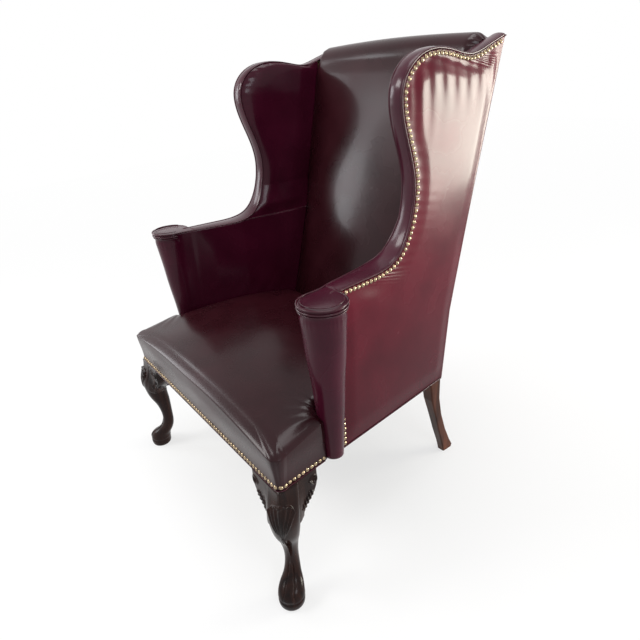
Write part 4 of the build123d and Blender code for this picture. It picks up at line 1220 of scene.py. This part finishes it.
NAIL_ROW = 320.7
HEAD_FACES = len(head()[1])
turn_y = np.linspace(26, 131.4, 60)
turn_side = np.column_stack([outer_half(turn_y, NAIL_ROW) + 0.2, turn_y])
bend = np.vstack([arc_points(SEAT_CORNER, CORNER_RADIUS + 0.2, -90, 8, 24), turn_side])
run = np.vstack([bend[::-1] * [-1, 1], bend])
run = walk(run, round(length(run) / PITCH) * FINE_STEPS + 1)
ahead = np.gradient(run, axis=0)
outward = np.column_stack([ahead[:, 1], -ahead[:, 0], np.zeros(len(run))])
front_run = np.column_stack([run, np.full(len(run), NAIL_ROW)])[::FINE_STEPS]
made = set_nails("seat_nail_heads", [(front_run, outward[::FINE_STEPS])], ["seat_nails"])
print(made.name, len(made.data.polygons) // HEAD_FACES, "heads")

edge_run = inset(OUTLINE, 11.8)
edge_run = edge_run[edge_run[:, 0] > 213.0]
edge_run = edge_run[edge_run[:, 0] < rear_edge(edge_run[:, 1]) - 10.0]
edge_run = walk(edge_run, round(length(edge_run) / PITCH) + 1)
post_run = row((198.3, NAIL_ROW), (198.3, 384.0))
for side, word in WORD.items():
    rows = [on_side(edge_run), on_side(post_run)]
    made = set_nails("side_nail_heads_" + word, rows, [word + "_side_nails"], side, 5)
    print(made.name, len(made.data.polygons) // HEAD_FACES, "heads")


def on_back(z):
    """Right-hand nail row of the back at each height."""
    z = np.asarray(z, float)
    return np.column_stack([outer_half(rear_edge(z), z) - 13.9, rear_edge(z) - 0.1, z])


BELOW_KNEE, ABOVE_KNEE, TOP_ROW = 498.7, 511.3, 1116.4
low_run, high_run = row(*on_back([NAIL_ROW, BELOW_KNEE])), row(*on_back([ABOVE_KNEE, TOP_ROW]))
LOW_NORMAL, HIGH_NORMAL = (0, 193.0, -21.0), (0, 632.0, -145.0)
corner_low, corner_high = on_back([NAIL_ROW, TOP_ROW])
back_rows = [(low_run, LOW_NORMAL), (low_run * [-1, 1, 1], LOW_NORMAL)]
back_rows += [(high_run, HIGH_NORMAL), (high_run * [-1, 1, 1], HIGH_NORMAL)]
back_rows.append((row(corner_low * [-1, 1, 1], corner_low)[1:-1], LOW_NORMAL))
back_rows.append((row(corner_high * [-1, 1, 1], corner_high)[1:-1], HIGH_NORMAL))
made = set_nails("back_nail_heads", back_rows, ["back_nails"], 1, 9)
print(made.name, len(made.data.polygons) // HEAD_FACES, "heads")

# %% [markdown]
# ## Cabriole front legs
#
# A cabriole leg is sawn from a square block and rounded by hand. It stays square under the
# rail, so its top faces run on into the knee brackets, becomes round at the ankle and ends
# in a pad foot with a disc below. Each level is a superellipse whose power falls from
# nearly square to a circle. The carving is added along the surface: a fan of ribs with a
# scalloped rim on the knee, a small bell flower under it, and a tongue on the foot.

# %% Leg shape and carving
BLOCK_HALF = 33.5
LEG_LEVELS = np.array(
    [
        (0.0, 0.04, 0.80, 2.0), (3.0, 0.04, 0.85, 2.0), (12.0, 0.05, 0.90, 2.0),
        (25.0, 0.015, 0.92, 2.0), (37.0, -0.09, 0.89, 2.0), (47.0, -0.33, 0.81, 2.0),
        (60.0, -0.72, 0.64, 2.0), (75.0, -0.985, 0.54, 2.0), (95.0, -1.12, 0.487, 2.0),
        (119.0, -1.12, 0.493, 2.0), (138.0, -1.06, 0.552, 2.05), (156.0, -0.955, 0.642, 2.1),
        (172.0, -0.806, 0.755, 2.15), (190.0, -0.64, 0.855, 2.2), (210.0, -0.555, 0.935, 2.3),
        (230.0, -0.49, 0.97, 2.45), (248.0, -0.53, 0.955, 2.8), (266.0, -0.68, 0.90, 3.4),
        (283.0, -0.87, 0.85, 4.6), (298.0, -0.98, 0.825, 5.4), (312.0, -1.02, 0.82, 6.0),
    ]
)
SHELL_EDGE = np.array(
    [
        (192, 0), (206, 6), (222, 15), (238, 24), (250, 30),
        (260, 33), (268, 31), (276, 24), (282, 13), (286, 0),
    ],
    float,
)


def front_leg(side):
    """Superellipse rings up the leg, plus carved relief along the outward direction of each ring."""
    levels = spline(LEG_LEVELS * [1.0, BLOCK_HALF, BLOCK_HALF, 10.0], 300)
    h = levels[:, 0:1]
    step, size, power = levels[:, 1:2], levels[:, 2:3], levels[:, 3:4] / 10.0
    t = np.linspace(0, 2 * np.pi, 220, endpoint=False)
    t = t - 0.42 * np.sin(t)
    angle = t[None, :] - np.pi / 4
    c, s = np.cos(angle), np.sin(angle)
    reach = size / (np.abs(c) ** power + np.abs(s) ** power) ** (1 / power)
    around = t[None, :] - 2 * np.pi * (t[None, :] > np.pi)
    lateral = around * reach
    low_ridge = 1.6 * hump(around, 0, 0.16) * smooth(h, 120, 200)
    edge = np.interp(h, SHELL_EDGE[:, 0], SHELL_EDGE[:, 1])
    inside = smooth(edge - np.abs(lateral), -0.4, 2.2) * (np.abs(around) < 1.6)
    fan = np.arctan2(lateral, h - 188.0)
    ribs = np.cos(fan * 52.0)
    rim = hump(edge - np.abs(lateral), 3.0, 2.4) * smooth(h, 240, 262)
    rim = rim + hump(h, 281.5, 3.0) * (np.abs(lateral) < 14)
    shell = inside * (0.9 + 3.0 * smooth(h, 205, 272) + 1.1 * ribs * smooth(h, 198, 225)) + 1.8 * rim * inside
    lower_leaf = np.interp(h, [170, 176, 186, 194, 200, 205], [0, 3.2, 6.4, 6.0, 3.4, 0])
    bell = smooth(lower_leaf - np.abs(lateral), -0.3, 1.6) * (1.5 - 0.9 * hump(lateral, 0, 1.0))
    bell = bell * (np.abs(around) < 1.2)
    tongue_half = np.interp(h, [26, 34, 60, 84, 100], [13.0, 12.0, 7.5, 4.0, 0.5])
    tongue = smooth(tongue_half - np.abs(lateral), -0.6, 2.2) * smooth(h, 24, 32) * (np.abs(around) < 1.3)
    groove = hump(np.abs(lateral) - tongue_half, 1.6, 1.3) * smooth(h, 28, 40) * smooth(104 - h, 0, 24)
    disc = -2.0 * hump(h, 20.5, 2.4) * (0.45 + 0.55 * smooth(np.cos(around), -0.3, 0.6))
    relief = low_ridge + shell + 1.3 * bell + 2.0 * tongue - 1.7 * groove * (np.abs(around) < 1.3) + disc
    radius = reach + relief
    x = SEAT_HALF + step * np.sqrt(0.5) + radius * c
    y = -step * np.sqrt(0.5) + radius * s
    ring = np.stack([x, y, h + 0 * x], axis=-1)
    n_h, n_t = ring.shape[:2]
    faces = grid_faces(n_t, n_h, wrap=True).tolist()
    verts = np.swapaxes(ring, 0, 1).reshape(-1, 3)
    poles = [[float(x[k].mean()), float(y[k].mean()), float(h[k, 0])] for k in (0, -1)]
    verts = np.vstack([verts, poles])
    low_pole, high_pole = len(verts) - 2, len(verts) - 1
    nxt = (np.arange(n_t) + 1) % n_t
    faces += [[int(j) * n_h, low_pole, int(k) * n_h] for j, k in zip(range(n_t), nxt)]
    faces += [[int(k) * n_h + n_h - 1, high_pole, int(j) * n_h + n_h - 1] for j, k in zip(range(n_t), nxt)]
    faces = [face[::-1] for face in faces]
    name, node = "carved_leg_" + WORD[side], WORD[side] + "_front_leg"
    return loose_mesh(name, [(verts, faces)], mahogany, [node], side)


def level_foot(obj):
    """The leg is cut level with the floor: points below it are raised to it."""
    co = np.zeros(len(obj.data.vertices) * 3)
    obj.data.vertices.foreach_get("co", co)
    co = co.reshape(-1, 3)
    co[:, 2] = np.maximum(co[:, 2], 0.0)
    obj.data.vertices.foreach_set("co", co.ravel())


for side in (1, -1):
    made = front_leg(side)
    level_foot(made)
    lowest = min(v.co.z for v in made.data.vertices)
    print(made.name, len(made.data.polygons), "faces, lowest", round(lowest, 4))

# %% [markdown]
# ## Knee brackets
#
# Between each leg and the two rails sits a bracket, sawn to an S and carved like the knee:
# its face is smooth near the leg, a comma shaped scroll ends it, and small leaf flutes
# follow its lower edge. The face is a grid between the rail above and the sawn edge below,
# and the grid wraps round to a flat back.

# %% Carved brackets
SAWN_EDGE = np.array(
    [
        (30, 216), (44, 213), (57, 212), (60, 221), (72, 235),
        (88, 248), (99, 262), (105, 276), (106.5, 290),
    ],
    float,
)


def bracket_relief(d, h):
    """A hollow with a raised rim for the scroll, chevrons along the sawn edge, a rounded border."""
    eye = np.hypot(d - 94.0, h - 288.0)
    swirl = np.arctan2(h - 288.0, d - 94.0)
    comma = -5.0 * hump(eye, 0, 6.5) + 2.2 * hump(eye, 10.5 + 1.6 * swirl / np.pi, 2.4)
    along = (d - 60.0) * 0.69 + (h - 220.0) * 0.72
    inward = -(d - 60.0) * 0.72 + (h - 220.0) * 0.69
    wave = np.cos((along - np.abs(inward - 9.0) * 0.75) * 2 * np.pi / 9.5)
    leaf = smooth(inward, 0, 3) * smooth(20 - inward, 0, 3) * smooth(along, 2, 8) * smooth(54 - along, 0, 6)
    return comma + leaf * (0.6 + 2.2 * wave)


def bracket(corner, along, out, name, node, side):
    """Face from rail to sawn edge with relief, wrapped round to a flat back and capped."""
    low = walk(spline(SAWN_EDGE[:3], 40).tolist() + spline(SAWN_EDGE[3:], 120).tolist(), 110)
    top = np.column_stack([np.linspace(30, 106.5, 110), np.full(110, RAIL)])
    face = between(top, low, 70)
    d, h = face[..., 0], face[..., 1]
    to_edge = np.linalg.norm(face - low[:, None], axis=2)
    to_end = 106.8 - d
    round_off = 2.4 * (np.exp(-to_edge / 1.8) + np.exp(-np.clip(to_end, 0, None) / 1.8))
    knee = np.interp(h, [205, 225, 248, 266, 283, 300], [17.0, 16.5, 14.0, 8.0, 2.5, 0.0])
    flow = 0.85 * knee * smooth(66 - d, 0, 36)
    proud = 3.2 + flow + bracket_relief(d, h) * smooth(h, 308, 302) - np.minimum(round_off, 2.6)
    front = corner + d[..., None] * along + proud[..., None] * out
    back = corner + d[..., None] * along + 0 * proud[..., None] * out - 29.0 * np.asarray(out)
    front[..., 2], back[..., 2] = h, h
    loop = np.concatenate([front, back[:, ::-1]], axis=1)
    n_d, n_r = loop.shape[:2]
    verts = np.swapaxes(loop, 0, 1).reshape(-1, 3)
    faces = grid_faces(n_r, n_d, wrap=True).tolist()
    faces.append([k * n_d for k in range(n_r)])
    faces.append([k * n_d + n_d - 1 for k in range(n_r)][::-1])
    turn = float(np.dot(np.cross(along, [0, 0, 1.0]), out))
    if turn > 0:
        faces = [f[::-1] for f in faces]
    return loose_mesh(name, [(verts, faces)], mahogany, [node], side)


CORNER = np.array([SEAT_HALF, 0.0, 0.0])
TURN = np.arctan2(SEAT_TAPER, SEAT_DEPTH)
SIDE_RUN = np.array([-np.sin(TURN), np.cos(TURN), 0]), np.array([np.cos(TURN), np.sin(TURN), 0])
FRONT_RUN = np.array([-1.0, 0, 0]), np.array([0, -1.0, 0])
for side, word in WORD.items():
    for place, (along, out) in (("side", SIDE_RUN), ("front", FRONT_RUN)):
        name, node = place + "_bracket_" + word, word + "_" + place + "_knee_bracket"
        made = bracket(CORNER, along, out, name, node, side)
        print(made.name, len(made.data.polygons), "faces")
